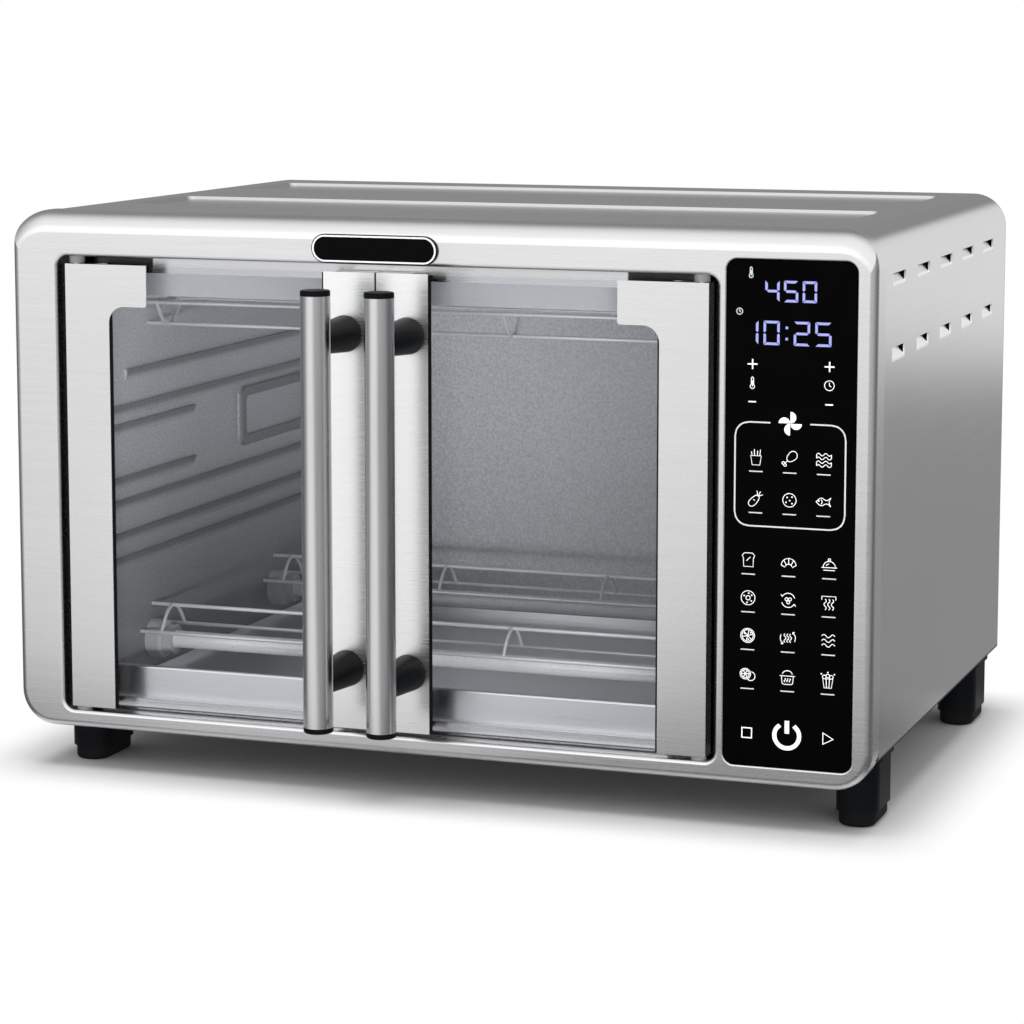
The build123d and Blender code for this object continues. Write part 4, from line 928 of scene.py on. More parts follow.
# near black: painted shade under the oven, where the base lies hidden
BASE_SHEET = CoatedSheet("base_sheet", colour=(0.03, 0.03, 0.031), painted_low_tone=1.0)
TRAY_STEEL = BrushedSteel("tray_steel", colour=(0.88, 0.885, 0.895), roughness=0.3, contrast=0.1)
ROOF_SHEET = CoatedSheet("roof_sheet", colour=(0.5, 0.51, 0.53), contrast=0.25)
FLOOR_SHEET = CoatedSheet("floor_sheet", colour=(0.86, 0.865, 0.88), metallic=0.6, contrast=0.3, painted_low_tone=1.0)
# front frame: painted shade of the door gap, drawn as black beside the hinges
FRAME_STEEL = GapShadedSteel("frame_steel", colour=(0.66, 0.66, 0.67), contrast=0.08)
PLATED = PlatedSteel("plated_steel")
WIRE = PlatedSteel("guard_wire", colour=(0.92, 0.92, 0.93), roughness=0.38, metallic=0.45)
ALUMINIUM = PlatedSteel("fan_aluminium", colour=(0.62, 0.63, 0.64), roughness=0.34)
HEATER = HeaterSheath("heater_sheath")
CERAMIC = Moulded("grey_ceramic", colour=(0.55, 0.55, 0.55), roughness=0.5, mottle=0.1)
BLACK_PLASTIC = Moulded("black_plastic", colour=(0.0035, 0.004, 0.005), shine=0.06)
BLACK_RUBBER = Moulded("black_rubber", colour=(0.006, 0.006, 0.0065), roughness=0.62, shine=0.06)
PALE_PLASTIC = Moulded("pale_plastic", colour=(0.66, 0.66, 0.64), mottle=0.08)
GREY_PLASTIC = Moulded("grey_plastic", colour=(0.2, 0.2, 0.2), mottle=0.08)
SINTERED = Moulded("sintered_magnet", colour=(0.06, 0.06, 0.065), roughness=0.5, depth=0.00005)
PANEL_BLACK = PolishedBlack("panel_black_glass")
BADGE_BLACK = PolishedBlack("badge_lacquer", shine=0.05)
LENS = PolishedBlack("display_lens", colour=(0.01, 0.01, 0.014))
GLASS = DoorGlass("door_glass")
INK = Printed("panel_ink")
DIM_INK = Printed("panel_ink_dim", colour=(0.55, 0.56, 0.58), glow=0.12)
BADGE_LINE = Printed("badge_line", glow=0.0)
SEGMENT = Lit("display_segment")
BOARD = SolderMask("circuit_board")
CORE = LaminatedCore("motor_core")


# Sub-assemblies


@dataclass
class Assembly:
    """A group of pieces of the oven that is dressed together."""

    nodes: dict[str, bpy.types.Object]

    def coat(self, finish: Finish, *names: str) -> None:
        """Give CAD pieces a finish.

        Args:
            finish: The finish to show.
            names: The pieces' node names.
        """
        for name in names:
            for slot in self.nodes[name].material_slots:
                slot.material = material_of(finish)
            LOG.info("%s: %s", name, finish.name)

    def add(self, name: str, mesh: bpy.types.Mesh, finish: Finish, body: str, slot: str) -> None:
        """Place a new piece that is already modelled where it belongs.

        Args:
            name: The piece's name.
            mesh: Its mesh, in the frame of the oven.
            finish: The finish to show.
            body: The body that it moves with.
            slot: The record's material slot that it belongs to; not used.
        """
        piece = bpy.data.objects.new(name, mesh)
        bpy.context.scene.collection.objects.link(piece)
        mesh.materials.clear()
        mesh.materials.append(material_of(finish))
        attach(piece, body)
        LOG.info("%s: %d faces, %s", name, len(mesh.polygons), finish.name)


def mesh_from(shape: bmesh.types.BMesh, name: str) -> bpy.types.Mesh:
    """Turn a finished shape into a mesh and free it.

    Args:
        shape: The shape, with its place in its vertices.
        name: The mesh's name.

    Returns:
        The new mesh.
    """
    bmesh.ops.recalc_face_normals(shape, faces=shape.faces)
    mesh = bpy.data.meshes.new(name)
    shape.to_mesh(mesh)
    shape.free()
    return mesh


def verts_in(geometry: Sequence[Any]) -> list[bmesh.types.BMVert]:
    """The vertices among what an operator hands back."""
    return [item for item in geometry if isinstance(item, bmesh.types.BMVert)]


def thicken(shape: bmesh.types.BMesh, faces: list[bmesh.types.BMFace], rise: Vector) -> None:
    """Raise flat faces to a thin solid.

    Args:
        shape: The shape that holds the faces.
        faces: The faces to raise.
        rise: How far, and which way, they are raised.
    """
    raised = bmesh.ops.extrude_face_region(shape, geom=faces, use_keep_orig=True)["geom"]
    bmesh.ops.translate(shape, verts=verts_in(raised), vec=rise)


def raise_prism(shape: bmesh.types.BMesh, outline: Sequence[Vector], rise: Vector) -> None:
    """Add a flat outline raised to a thin solid.

    Args:
        shape: The shape to add to.
        outline: The corners of the outline.
        rise: How far, and which way, it is raised.
    """
    thicken(shape, [shape.faces.new([shape.verts.new(corner) for corner in outline])], rise)


def stand(shape: bmesh.types.BMesh, middle: Vector) -> None:
    """Turn a shape that was drawn flat, so that it faces the front, and move it to its place.

    Args:
        shape: The shape, drawn about the origin.
        middle: Where its middle goes.
    """
    upright = Matrix.Rotation(radians(90), 4, "X")
    bmesh.ops.transform(shape, matrix=Matrix.Translation(middle) @ upright, verts=shape.verts)


@dataclass
class Casing(Assembly):
    """Fascia, shell, base, rear panel, feet and the blank badge.

    Attributes:
        rim_inset: How far inside the badge's edge its rim line runs.
        rim_width: Width of the line.
        rim_rise: How far it stands up.
        arc_steps: Straight steps in each quarter turn of it.
    """

    rim_inset: float = 0.0006
    rim_width: float = 0.0009
    rim_rise: float = 0.0003
    arc_steps: int = 24

    def build(self) -> None:
        """Dress the casing and add the badge's rim."""
        self.coat(STEEL, "front_fascia")
        self.coat(SHELL_STEEL, "outer_shell")
        self.coat(OUTER_SHEET, "rear_panel")
        self.coat(BASE_SHEET, "base_panel")
        self.coat(BADGE_BLACK, "badge_plate")
        self.coat(BLACK_PLASTIC, "front_feet", "rear_feet", "cord_gland")
        self.coat(BLACK_RUBBER, "foot_pads")
        self.coat(PLATED, "foot_screws", "rear_screws")
        self.add("badge_rim", self.badge_rim(), BADGE_LINE, "housing", "pale_plastic")

    def badge_rim(self) -> bpy.types.Mesh:
        """A raised line that follows the badge's rounded outline just inside its edge."""
        low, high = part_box("badge_plate")
        radius = (high.z - low.z) / 2 - self.rim_inset
        reach = (high.x - low.x) / 2 - radius - self.rim_inset
        shape = bmesh.new()
        bmesh.ops.create_circle(shape, cap_ends=True, segments=4 * self.arc_steps, radius=radius)
        for side in (-1, 1):
            half = [vert for vert in shape.verts if vert.co.x * side > 0]
            bmesh.ops.translate(shape, verts=half, vec=(side * reach, 0, 0))
        band = bmesh.ops.inset_region(
            shape, faces=shape.faces[:], thickness=self.rim_width,
            use_boundary=True, use_even_offset=True)["faces"]
        bmesh.ops.delete(shape, geom=[face for face in shape.faces if face not in band], context="FACES")
        thicken(shape, band, Vector((0, 0, self.rim_rise)))
        stand(shape, Vector(((low.x + high.x) / 2, low.y, (low.z + high.z) / 2)))
        return mesh_from(shape, "badge_rim")


@dataclass
class DoorPair(Assembly):
    """Both doors with their stiles, panes, seals, handles and hinge pins."""

    sides: tuple[str, ...] = ("left", "right")

    def build(self) -> None:
        """Dress both doors and the bushes that they turn in."""
        for side in self.sides:
            self.coat(STEEL, f"{side}_hinge_stile")
            self.coat(STILE_STEEL, f"{side}_centre_stile")
            self.coat(TUBE_STEEL, f"{side}_handle_tube")
            self.coat(BLACK_PLASTIC, f"{side}_handle_caps", f"{side}_handle_standoffs")
            self.coat(BLACK_RUBBER, f"{side}_glass_seals")
            self.coat(GLASS, f"{side}_glass")
            self.coat(PLATED, f"{side}_hinge_pins")
        # grey: the bushes' own plastic, darkened as painted shade of the door gap
        self.coat(GREY_PLASTIC, "hinge_bushes")
        self.coat(SINTERED, "door_magnets")


@dataclass
class Cavity(Assembly):
    """The cooking space: its walls, heaters, guards and crumb tray."""

    def build(self) -> None:
        """Dress the cavity."""
        self.coat(CAVITY_SHEET, "cavity_back_wall")
        self.coat(ROOF_SHEET, "cavity_roof")
        self.coat(WALL_SHEET, "cavity_left_wall", "cavity_right_wall")
        self.coat(FLOOR_SHEET, "cavity_floor")
        self.coat(FRAME_STEEL, "cavity_front_frame")
        self.coat(TRAY_STEEL, "crumb_tray")
        self.coat(HEATER, "lower_heaters", "upper_heaters")
        self.coat(CERAMIC, "heater_insulators")
        self.coat(WIRE, "lower_guards", "upper_guards", "temperature_probe")


@dataclass
class Workings(Assembly):
    """Linkage, fan and electrical parts behind the walls."""

    def build(self) -> None:
        """Dress the hidden parts."""
        self.coat(CAVITY_SHEET, "linkage_plate", "fan_shroud", "motor_bracket")
        self.coat(BLACK_PLASTIC, "link_guides", "panel_carrier")
        self.coat(PLATED, "rocker", "left_link", "right_link", "fan_shaft")
        self.coat(ALUMINIUM, "convection_fan", "cooling_fan")
        self.coat(CORE, "fan_motor")
        self.coat(BOARD, "control_board", "power_board")
        self.coat(LENS, "display_module")
        self.coat(PALE_PLASTIC, "thermal_cutout")


ARC_STEP = 30  # degrees between the knots of an arc
SMOOTH_STEPS = 6  # straight steps between two knots of a smooth stroke
DOT_RADIUS = 0.25


@dataclass(frozen=True)
class Pen:
    """Draws flat strokes on an upright plane.

    Attributes:
        curve: The curve that gathers the strokes.
        origin: Where the pen's own 0, 0 lies.
        unit: Metres per drawing unit.
        width: Width of a stroke in metres.
    """

    curve: bpy.types.Curve
    origin: Vector
    unit: float = 1.0
    width: float = 0.0005

    def at(self, across: float, down: float, unit: float, width: float | None = None) -> "Pen":
        """A pen with its own scale, placed from this pen's origin.

        Args:
            across: Distance to the right in metres.
            down: Distance down in metres.
            unit: Metres per drawing unit of the new pen.
            width: Stroke width of the new pen, if it differs.

        Returns:
            The new pen.
        """
        return Pen(self.curve, self.origin + Vector((across, 0, -down)), unit, width or self.width)

    def path(self, points: Sequence[Point], closed: bool = False, smooth: bool = False) -> None:
        """Draw a stroke through points.

        Args:
            points: Places in drawing units, right and up.
            closed: Whether the stroke returns to its start.
            smooth: Whether it runs through the points as a curve.
        """
        spline = self.curve.splines.new("BEZIER")
        spline.bezier_points.add(len(points) - 1)
        for knot, (across, up) in zip(spline.bezier_points, points):
            knot.co = self.origin + self.unit * Vector((across, 0, up))
            knot.radius = self.width / 2
            knot.handle_left_type = knot.handle_right_type = "AUTO" if smooth else "VECTOR"
        spline.use_cyclic_u = closed
        spline.resolution_u = SMOOTH_STEPS if smooth else 1

    def arc(self, centre: Point, radius: float, start: float, end: float) -> None:
        """Draw part of a circle.

        Args:
            centre: The circle's centre in drawing units.
            radius: Its radius.
            start: Where it starts, in degrees from the right.
            end: Where it ends.
        """
        steps = max(2, round(abs(end - start) / ARC_STEP))
        turns = [radians(start + (end - start) * step / steps) for step in range(steps + 1)]
        x, y = centre
        self.path([(x + radius * cos(turn), y + radius * sin(turn)) for turn in turns], smooth=True)

    def ring(self, centre: Point, radius: float) -> None:
        """Draw a whole circle."""
        x, y = centre
        corners = [(x + radius, y), (x, y + radius), (x - radius, y), (x, y - radius)]
        self.path(corners, closed=True, smooth=True)

    def wave(self, start: Point, end: Point, swing: float, bends: int = 4) -> None:
        """Draw a wavy line.

        Args:
            start: One end in drawing units.
            end: The other end.
            swing: How far it swings to each side.
            bends: How many swings it makes.
        """
        run = Vector(end) - Vector(start)
        side = Vector((-run.y, run.x)).normalized() * swing
        swings = (Vector(start) + run * (bend + 0.5) / bends + side * (-1) ** bend for bend in range(bends))
        self.path([start, *(tuple(point) for point in swings), end], smooth=True)

    def dots(self, *centres: Point) -> None:
        """Draw small round dots."""
        for centre in centres:
            self.ring(centre, DOT_RADIUS)


class Pictogram(Enum):
    """Plain cooking pictograms, each drawn in a field 10 units wide."""

    CHIPS = "chips"
    LEG = "leg"
    RASHERS = "rashers"
    CARROT = "carrot"
    BISCUIT = "biscuit"
    FISH = "fish"
    SLICE = "slice"
    CRESCENT = "crescent"
    DOME = "dome"
    RING_ROLL = "ring_roll"
    AIRFLOW = "airflow"
    TOP_HEAT = "top_heat"
    ROUND_PIE = "round_pie"
    REHEAT = "reheat"
    WARM = "warm"
    DRIED = "dried"
    POT = "pot"
    TUB = "tub"

    def draw(self, pen: Pen) -> None:
        """Draw this pictogram with a pen at its centre."""
        getattr(self, "_" + self.value)(pen)

    def _chips(self, pen: Pen) -> None:
        """A tapered cup with sticks above its rim."""
        pen.path([(-3.2, 0.8), (-2.3, -4.6), (2.3, -4.6), (3.2, 0.8)], closed=True)
        for across, top in ((-2.4, 3.2), (-0.9, 4.6), (0.8, 3.8), (2.3, 4.4)):
            pen.path([(across, 0.8), (across * 1.15, top)])

    def _leg(self, pen: Pen) -> None:
        """A drumstick with a knuckled bone."""
        pen.path([(-1.4, -1.2), (-0.8, 2.6), (2.4, 4.4), (4.4, 2.2), (2.6, -0.8)], closed=True, smooth=True)
        pen.path([(-1.2, -1.0), (-3.0, -2.8)])
        pen.ring((-3.9, -2.7), 0.8)
        pen.ring((-2.9, -3.8), 0.8)

    def _rashers(self, pen: Pen) -> None:
        """Two wavy strips."""
        for up in (3.3, 1.1, -1.1, -3.3):
            pen.wave((-4.4, up), (4.4, up), 0.7)
        for side in (-4.4, 4.4):
            pen.path([(side, 3.3), (side, 1.1)])
            pen.path([(side, -1.1), (side, -3.3)])

    def _carrot(self, pen: Pen) -> None:
        """A carrot with three leaves."""
        pen.path([(-3.8, -4.2), (-0.4, 1.6), (1.6, 1.8), (2.0, -0.2)], closed=True, smooth=True)
        for tip in ((0.8, 4.6), (3.0, 4.2), (4.4, 2.4)):
            pen.path([(1.4, 1.4), tip])
        pen.path([(-1.4, -0.6), (-0.4, -1.2)])

    def _biscuit(self, pen: Pen) -> None:
        """A round biscuit with chips in it."""
        pen.ring((0, 0), 4.0)
        pen.dots((-1.4, 1.6), (1.5, 1.9), (0.2, -0.2), (-2.0, -1.3), (1.6, -1.9))

    def _fish(self, pen: Pen) -> None:
        """A fish with a forked tail."""
        pen.path([(-4.4, 0), (-1.4, 2.2), (2.0, 1.0), (4.4, 2.6)], smooth=True)
        pen.path([(-4.4, 0), (-1.4, -2.2), (2.0, -1.0), (4.4, -2.6)], smooth=True)
        pen.path([(4.4, 2.6), (3.4, 0), (4.4, -2.6)], smooth=True)
        pen.dots((-2.8, 0.5))
        pen.arc((-2.6, 0), 1.8, -50, 50)

    def _slice(self, pen: Pen) -> None:
        """A slice from a tin loaf."""
        left = [(-2.9, -4.0), (-3.0, 1.0), (-3.8, 2.6), (-2.4, 4.1)]
        pen.path([*left, *((-across, up) for across, up in reversed(left))], closed=True)
        pen.path([(-1.2, -0.6), (1.2, 1.8)])

    def _crescent(self, pen: Pen) -> None:
        """A crescent roll with its folds."""
        pen.arc((0, -2.4), 4.6, 8, 172)
        pen.arc((0, -3.4), 2.2, 25, 155)
        for turn in (8, 50, 90, 130, 172):
            outer = (4.6 * cos(radians(turn)), -2.4 + 4.6 * sin(radians(turn)))
            pen.path([outer, (outer[0] * 0.48, -3.4 + 2.2 * sin(radians(turn)))])

    def _dome(self, pen: Pen) -> None:
        """A roast under a dome, on its plate."""
        pen.arc((0, -1.8), 3.7, 0, 180)
        pen.path([(-4.6, -1.8), (4.6, -1.8)])
        pen.path([(-3.4, -3.4), (3.4, -3.4)])
        pen.ring((0, 2.8), 0.7)
        pen.arc((0, -1.8), 2.2, 95, 150)

    def _ring_roll(self, pen: Pen) -> None:
        """A ring roll."""
        pen.ring((0, 0), 4.2)
        pen.ring((0, 0), 1.3)
        pen.dots((2.2, 1.6), (-2.4, 1.2), (0.4, 2.8), (-0.6, -2.8), (2.0, -1.8))

    def _airflow(self, pen: Pen) -> None:
        """A fan between two turning arrows."""
        for half in (0, 180):
            pen.arc((0, 0), 4.2, half + 20, half + 150)
            tip = radians(half + 150)
            end = Vector((cos(tip), sin(tip))) * 4.2
            for turn in (-0.2, 1.1):
                back = Vector((sin(tip + turn), -cos(tip + turn))) * 1.5
                pen.path([tuple(end), tuple(end + back)])
        for blade in (30, 150, 270):
            heading = radians(blade)
            pen.ring((1.2 * cos(heading), 1.2 * sin(heading)), 0.9)

    def _top_heat(self, pen: Pen) -> None:
        """Heat falling from a bar."""
        pen.path([(-4.2, 1.8), (-4.2, 3.8), (4.2, 3.8), (4.2, 1.8)])
        for across in (-2.2, 0, 2.2):
            pen.wave((across, 2.2), (across, -4.2), 0.7, 3)

    def _round_pie(self, pen: Pen) -> None:
        """A round pie cut in six."""
        pen.ring((0, 0), 4.2)
        pen.ring((0, 0), 3.4)
        for turn in (15, 75, 135):
            reach = (3.4 * cos(radians(turn)), 3.4 * sin(radians(turn)))
            pen.path([reach, (-reach[0], -reach[1])])
        pen.dots((1.9, 1.6), (-1.9, 1.2), (0.4, -2.3))

    def _reheat(self, pen: Pen) -> None:
        """Rising heat between two arrows."""
        for across in (-1.7, 0, 1.7):
            pen.wave((across, -2.6), (across, 2.6), 0.6, 3)
        for side in (-1, 1):
            pen.arc((0, 0), side * 4.6, -25, 50)
            pen.path([(side * 3.0, side * 2.4), (side * 3.0, side * 3.6), (side * 4.2, side * 3.5)])

    def _warm(self, pen: Pen) -> None:
        """Three waves of warmth."""
        for up in (2.8, 0, -2.8):
            pen.wave((-4.0, up), (4.0, up), 0.9, 3)

    def _dried(self, pen: Pen) -> None:
        """Two dried slices, one before the other."""
        pen.ring((-1.2, 0.4), 3.2)
        pen.ring((-1.2, 0.4), 2.4)
        for turn in (0, 60, 120):
            reach = Vector((cos(radians(turn)), sin(radians(turn)))) * 2.2
            pen.path([(-1.2 + reach.x, 0.4 + reach.y), (-1.2 - reach.x, 0.4 - reach.y)])
        pen.arc((2.0, -0.8), 2.7, -140, 80)

    def _pot(self, pen: Pen) -> None:
        """A lidded pot with steam."""
        pen.path([(-3.6, 0.8), (-3.2, -3.6), (-2.4, -4.2), (2.4, -4.2), (3.2, -3.6), (3.6, 0.8)])
        pen.path([(-4.6, 0.8), (4.6, 0.8)])
        pen.arc((0, 0.6), 3.4, 25, 155)
        pen.path([(-0.9, 3.9), (0.9, 3.9)])
        for across in (-1.5, 0, 1.5):
            pen.wave((across, -2.8), (across, -0.6), 0.4, 2)

    def _tub(self, pen: Pen) -> None:
        """A striped tub with puffed corn above its rim."""
        pen.path([(-3.0, 0.8), (-2.2, -4.6), (2.2, -4.6), (3.0, 0.8)], closed=True)
        for across in (-1.0, 1.0):
            pen.path([(across, 0.8), (across * 0.75, -4.6)])
        for centre in ((-2.1, 1.9), (0, 2.5), (2.1, 1.9)):
            pen.ring(centre, 1.1)
        pen.dots((-3.9, 3.6), (3.9, 3.6), (0, 4.6))


LIT_BARS = {"0": "abcdef", "1": "bc", "2": "abged", "4": "fgbc", "5": "afgcd"}


@dataclass(frozen=True)
class FigureRow:
    """A row of seven-bar figures on the display.

    Attributes:
        text: Figures, with a colon where two dots stand.
        left: The row's left edge from the panel's middle.
        down: The row's upper edge from the panel's top.
        size: A figure's width and height.
        pitch: From one figure to the next.
    """

    text: str
    left: float
    down: float
    size: tuple[float, float]
    pitch: float


@dataclass(frozen=True)
class Hint:
    """A small mark beside the figures, which says what they show.

    Attributes:
        across: Its middle from the panel's middle.
        down: Its middle from the panel's top.
        unit: Metres per drawing unit.
    """

    across: float
    down: float
    unit: float


@dataclass
class ControlPanel(Assembly):
    """The black glass panel: lit figures, touch marks and pictograms.

    Places are measured across from the panel's middle and down from its top, in metres.
    """

    top: Vector = field(init=False)
    print_rise: float = 0.00006
    stroke: float = 0.00042
    hint_stroke: float = 0.00032
    label_stroke: float = 0.0007
    key_stroke: float = 0.0008
    bold_stroke: float = 0.0009
    power_stroke: float = 0.0026
    mark_unit: float = 0.00088
    symbol_unit: float = 0.0006
    millimetre: float = 0.001
    heat_hint: Hint = Hint(-0.0214, 0.0063, 0.00055)
    time_hint: Hint = Hint(-0.0273, 0.0265, 0.00038)
    heat_row: FigureRow = FigureRow("450", left=-0.0139, down=0.0102, size=(0.0075, 0.0110), pitch=0.0098)
    time_row: FigureRow = FigureRow("10:25", left=-0.0258, down=0.0309, size=(0.0085, 0.0124), pitch=0.0112)
    key_column: float = 0.0202
    key_rows: tuple[float, ...] = (0.0534, 0.0630, 0.0728)
    frame_half: float = 0.0291
    frame_rows: tuple[float, float] = (0.0833, 0.1372)
    frame_corner: float = 0.0075
    frame_gap: float = 0.0105
    inner_column: float = 0.0179
    inner_rows: tuple[float, ...] = (0.1014, 0.1229)
    outer_column: float = 0.0214
    outer_rows: tuple[float, ...] = (0.1551, 0.1750, 0.1948, 0.2154)
    label_drop: float = 0.0074
    label_half: float = 0.0036
    power_row: float = 0.2462
    power_radius: float = 0.0066
    power_arc: tuple[float, float] = (125, 415)
    power_stem: tuple[float, float] = (0.0012, 0.0079)
    fan_blades: int = 4
    fan_blade: float = 0.003
    fan_reach: float = 1.04
    fan_slit: float = 0.0001
    fan_steps: int = 24
    figure_bar: float = 0.0013
    figure_gap: float = 0.00025
    colon_pitch: float = 0.42
    colon_inset: float = 0.12
    colon_heights: tuple[float, float] = (0.27, 0.73)

    def build(self) -> None:
        """Dress the panel and print it."""
        self.coat(PANEL_BLACK, "control_panel_glass")
        low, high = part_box("control_panel_glass")
        self.top = Vector(((low.x + high.x) / 2, low.y, high.z))
        self.add("panel_figures", self.figures(), SEGMENT, "housing", "display")
        self.add("panel_marks", self.strokes(self.draw_marks), INK, "housing", "pale_plastic")
        self.add("panel_lines", self.strokes(self.draw_lines), DIM_INK, "housing", "pale_plastic")
        self.add("panel_fan_mark", self.fan_mark(), INK, "housing", "pale_plastic")

    def strokes(self, draw: Callable[[Pen], None]) -> bpy.types.Mesh:
        """Gather what a drawing method draws into one flat mesh on the panel.

        Args:
            draw: The method, which takes a pen at the panel's top middle.

        Returns:
            The mesh.
        """
        curve = bpy.data.curves.new("panel_strokes", "CURVE")
        curve.dimensions = "3D"
        curve.bevel_depth = 1.0
        curve.bevel_resolution = 1
        curve.use_fill_caps = True
        draw(Pen(curve, Vector((0, 0, 0)), width=self.stroke))
        holder = bpy.data.objects.new("panel_strokes", curve)
        bpy.context.scene.collection.objects.link(holder)
        mesh = bpy.data.meshes.new_from_object(holder)
        bpy.data.objects.remove(holder)
        bpy.data.curves.remove(curve)
        flat = Matrix.Scale(2 * self.print_rise / self.stroke, 4, (0, 1, 0))
        mesh.transform(Matrix.Translation(self.top) @ flat)
        return mesh

    def mark_places(self) -> list[Point]:
        """Where the pictograms stand, across and down, row by row."""
        grids = ((self.inner_column, self.inner_rows), (self.outer_column, self.outer_rows))
        return [(place * column, row) for column, rows in grids for row in rows for place in (-1, 0, 1)]

    def draw_marks(self, pen: Pen) -> None:
        """Touch marks, pictograms and the power ring."""
        upper, middle, lower = self.key_rows
        for column, symbol in ((-self.key_column, self.thermometer), (self.key_column, self.clock)):
            plus, minus = (pen.at(column, row, self.millimetre, self.key_stroke) for row in (upper, lower))
            plus.path([(-2.6, 0), (2.6, 0)])
            plus.path([(0, -2.6), (0, 2.6)])
            minus.path([(-2.0, 0), (2.0, 0)])
            symbol(pen.at(column, middle, self.symbol_unit))
        for hint, symbol in ((self.heat_hint, self.thermometer), (self.time_hint, self.clock)):
            symbol(pen.at(hint.across, hint.down, hint.unit, self.hint_stroke))
        for mark, (across, down) in zip(Pictogram, self.mark_places()):
            mark.draw(pen.at(across, down, self.mark_unit))
        power = pen.at(0, self.power_row, 1.0, self.power_stroke)
        power.arc((0, 0), self.power_radius, *self.power_arc)
        power.path([(0, end) for end in self.power_stem])
        stop, start = (pen.at(column, self.power_row, self.millimetre, self.bold_stroke)
                       for column in (-self.outer_column, self.outer_column))
        stop.path([(-2.6, -2.6), (-2.6, 2.6), (2.6, 2.6), (2.6, -2.6)], closed=True)
        start.path([(-2.2, -3.0), (-2.2, 3.0), (3.2, 0)], closed=True)

    def thermometer(self, pen: Pen) -> None:
        """A small thermometer."""
        pen.path([(-1.0, -1.6), (-1.0, 4.0), (0, 5.0), (1.0, 4.0), (1.0, -1.6)])
        pen.arc((0, -3.2), 1.9, 122, 418)
        pen.path([(0, -3.2), (0, 2.0)])

    def clock(self, pen: Pen) -> None:
        """A small clock."""
        pen.ring((0, 0), 4.2)
        pen.path([(0, 2.6), (0, 0), (1.6, -1.0)])

    def draw_lines(self, pen: Pen) -> None:
        """The frame round the upper marks, and a short line under each mark."""
        frame = pen.at(0, 0, 1.0, self.bold_stroke)
        half, corner = self.frame_half, self.frame_corner
        top, bottom = (-row for row in self.frame_rows)
        for side in (-1, 1):
            inner = side * (half - corner)
            frame.path([(side * self.frame_gap, top), (inner, top)])
            frame.path([(side * half, top - corner), (side * half, bottom + corner)])
            upper, lower = ((0, 90), (-90, 0)) if side > 0 else ((-90, 0), (0, 90))
            frame.arc((inner, top - corner), side * corner, *upper)
            frame.arc((inner, bottom + corner), side * corner, *lower)
        frame.path([(corner - half, bottom), (half - corner, bottom)])
        for across, down in self.mark_places():
            label = pen.at(across, down + self.label_drop, 1.0, self.label_stroke)
            label.path([(-self.label_half, 0), (self.label_half, 0)])

    def fan_mark(self) -> bpy.types.Mesh:
        """A four-bladed fan above the frame."""
        shape = bmesh.new()
        for blade in range(self.fan_blades):
            disc = bmesh.ops.create_circle(
                shape, cap_ends=True, segments=self.fan_steps, radius=self.fan_blade)["verts"]
            faces = {face for vert in disc for face in vert.link_faces}
            edges = {edge for vert in disc for edge in vert.link_edges}
            half = verts_in(bmesh.ops.bisect_plane(
                shape, geom=[*disc, *faces, *edges],
                plane_co=(0, 0, 0), plane_no=(0, 1, 0), clear_outer=True)["geom"])
            turn = Matrix.Rotation(radians(360 * blade / self.fan_blades), 3, "Z")
            bmesh.ops.translate(shape, verts=half, vec=(self.fan_reach * self.fan_blade, -self.fan_slit, 0))
            bmesh.ops.rotate(shape, verts=half, matrix=turn)
        thicken(shape, shape.faces[:], Vector((0, 0, self.print_rise)))
        stand(shape, self.top - Vector((0, 0, self.frame_rows[0])))
        return mesh_from(shape, "panel_fan_mark")

    def figures(self) -> bpy.types.Mesh:
        """The display's two rows of figures."""
        shape = bmesh.new()
        for row in (self.heat_row, self.time_row):
            self.figure_row(shape, row)
        return mesh_from(shape, "panel_figures")

    def figure_row(self, shape: bmesh.types.BMesh, row: FigureRow) -> None:
        """Add a row of figures.

        Args:
            shape: The shape to add to.
            row: What it shows, and where.
        """
        corner = self.top + Vector((row.left, 0, -row.down))
        rise = Vector((0, -self.print_rise, 0))
        for figure in row.text:
            if figure == ":":
                outlines, pitch = self.colon(*row.size), self.colon_pitch * row.pitch
            else:
                outlines, pitch = [self.bar_outline(bar, *row.size) for bar in LIT_BARS[figure]], row.pitch
            for outline in outlines:
                raise_prism(shape, [corner + Vector((x, 0, -z)) for x, z in outline], rise)
            corner = corner + Vector((pitch, 0, 0))

    def colon(self, width: float, height: float) -> list[list[Point]]:
        """The two square dots of a colon, from the upper left corner of its place, right and down.

        Args:
            width: A figure's width.
            height: A figure's height.

        Returns:
            The corners of each dot.
        """
        half, across = self.figure_bar / 2, width * self.colon_inset
        corners = ((-half, half), (half, half), (half, -half), (-half, -half))
        return [[(across + x, share * height + z) for x, z in corners] for share in self.colon_heights]

    def bar_outline(self, bar: str, width: float, height: float) -> list[Point]:
        """The mitred outline of one bar, from the figure's upper left corner, right and down.

        Args:
            bar: The bar's letter, a to g.
            width: The figure's width.
            height: The figure's height.

        Returns:
            The outline's corners.
        """
        thick, gap, mid = self.figure_bar, self.figure_gap, height / 2
        if bar == "g":
            half = thick / 2
            return [(half + gap, mid), (thick + gap, mid - half), (width - thick - gap, mid - half),
                    (width - half - gap, mid), (width - thick - gap, mid + half), (thick + gap, mid + half)]
        if bar in "ad":
            level = [(gap, 0), (width - gap, 0), (width - thick - gap, thick), (thick + gap, thick)]
            return level if bar == "a" else [(x, height - z) for x, z in level]
        upright = [(0, gap), (thick, thick + gap), (thick, mid - thick / 2 - gap), (thick / 2, mid - gap),
                   (0, mid - thick / 2)]
        if bar in "bc":
            upright = [(width - x, z) for x, z in upright]
        return upright if bar in "bf" else [(x, height - z) for x, z in upright]


# Studio


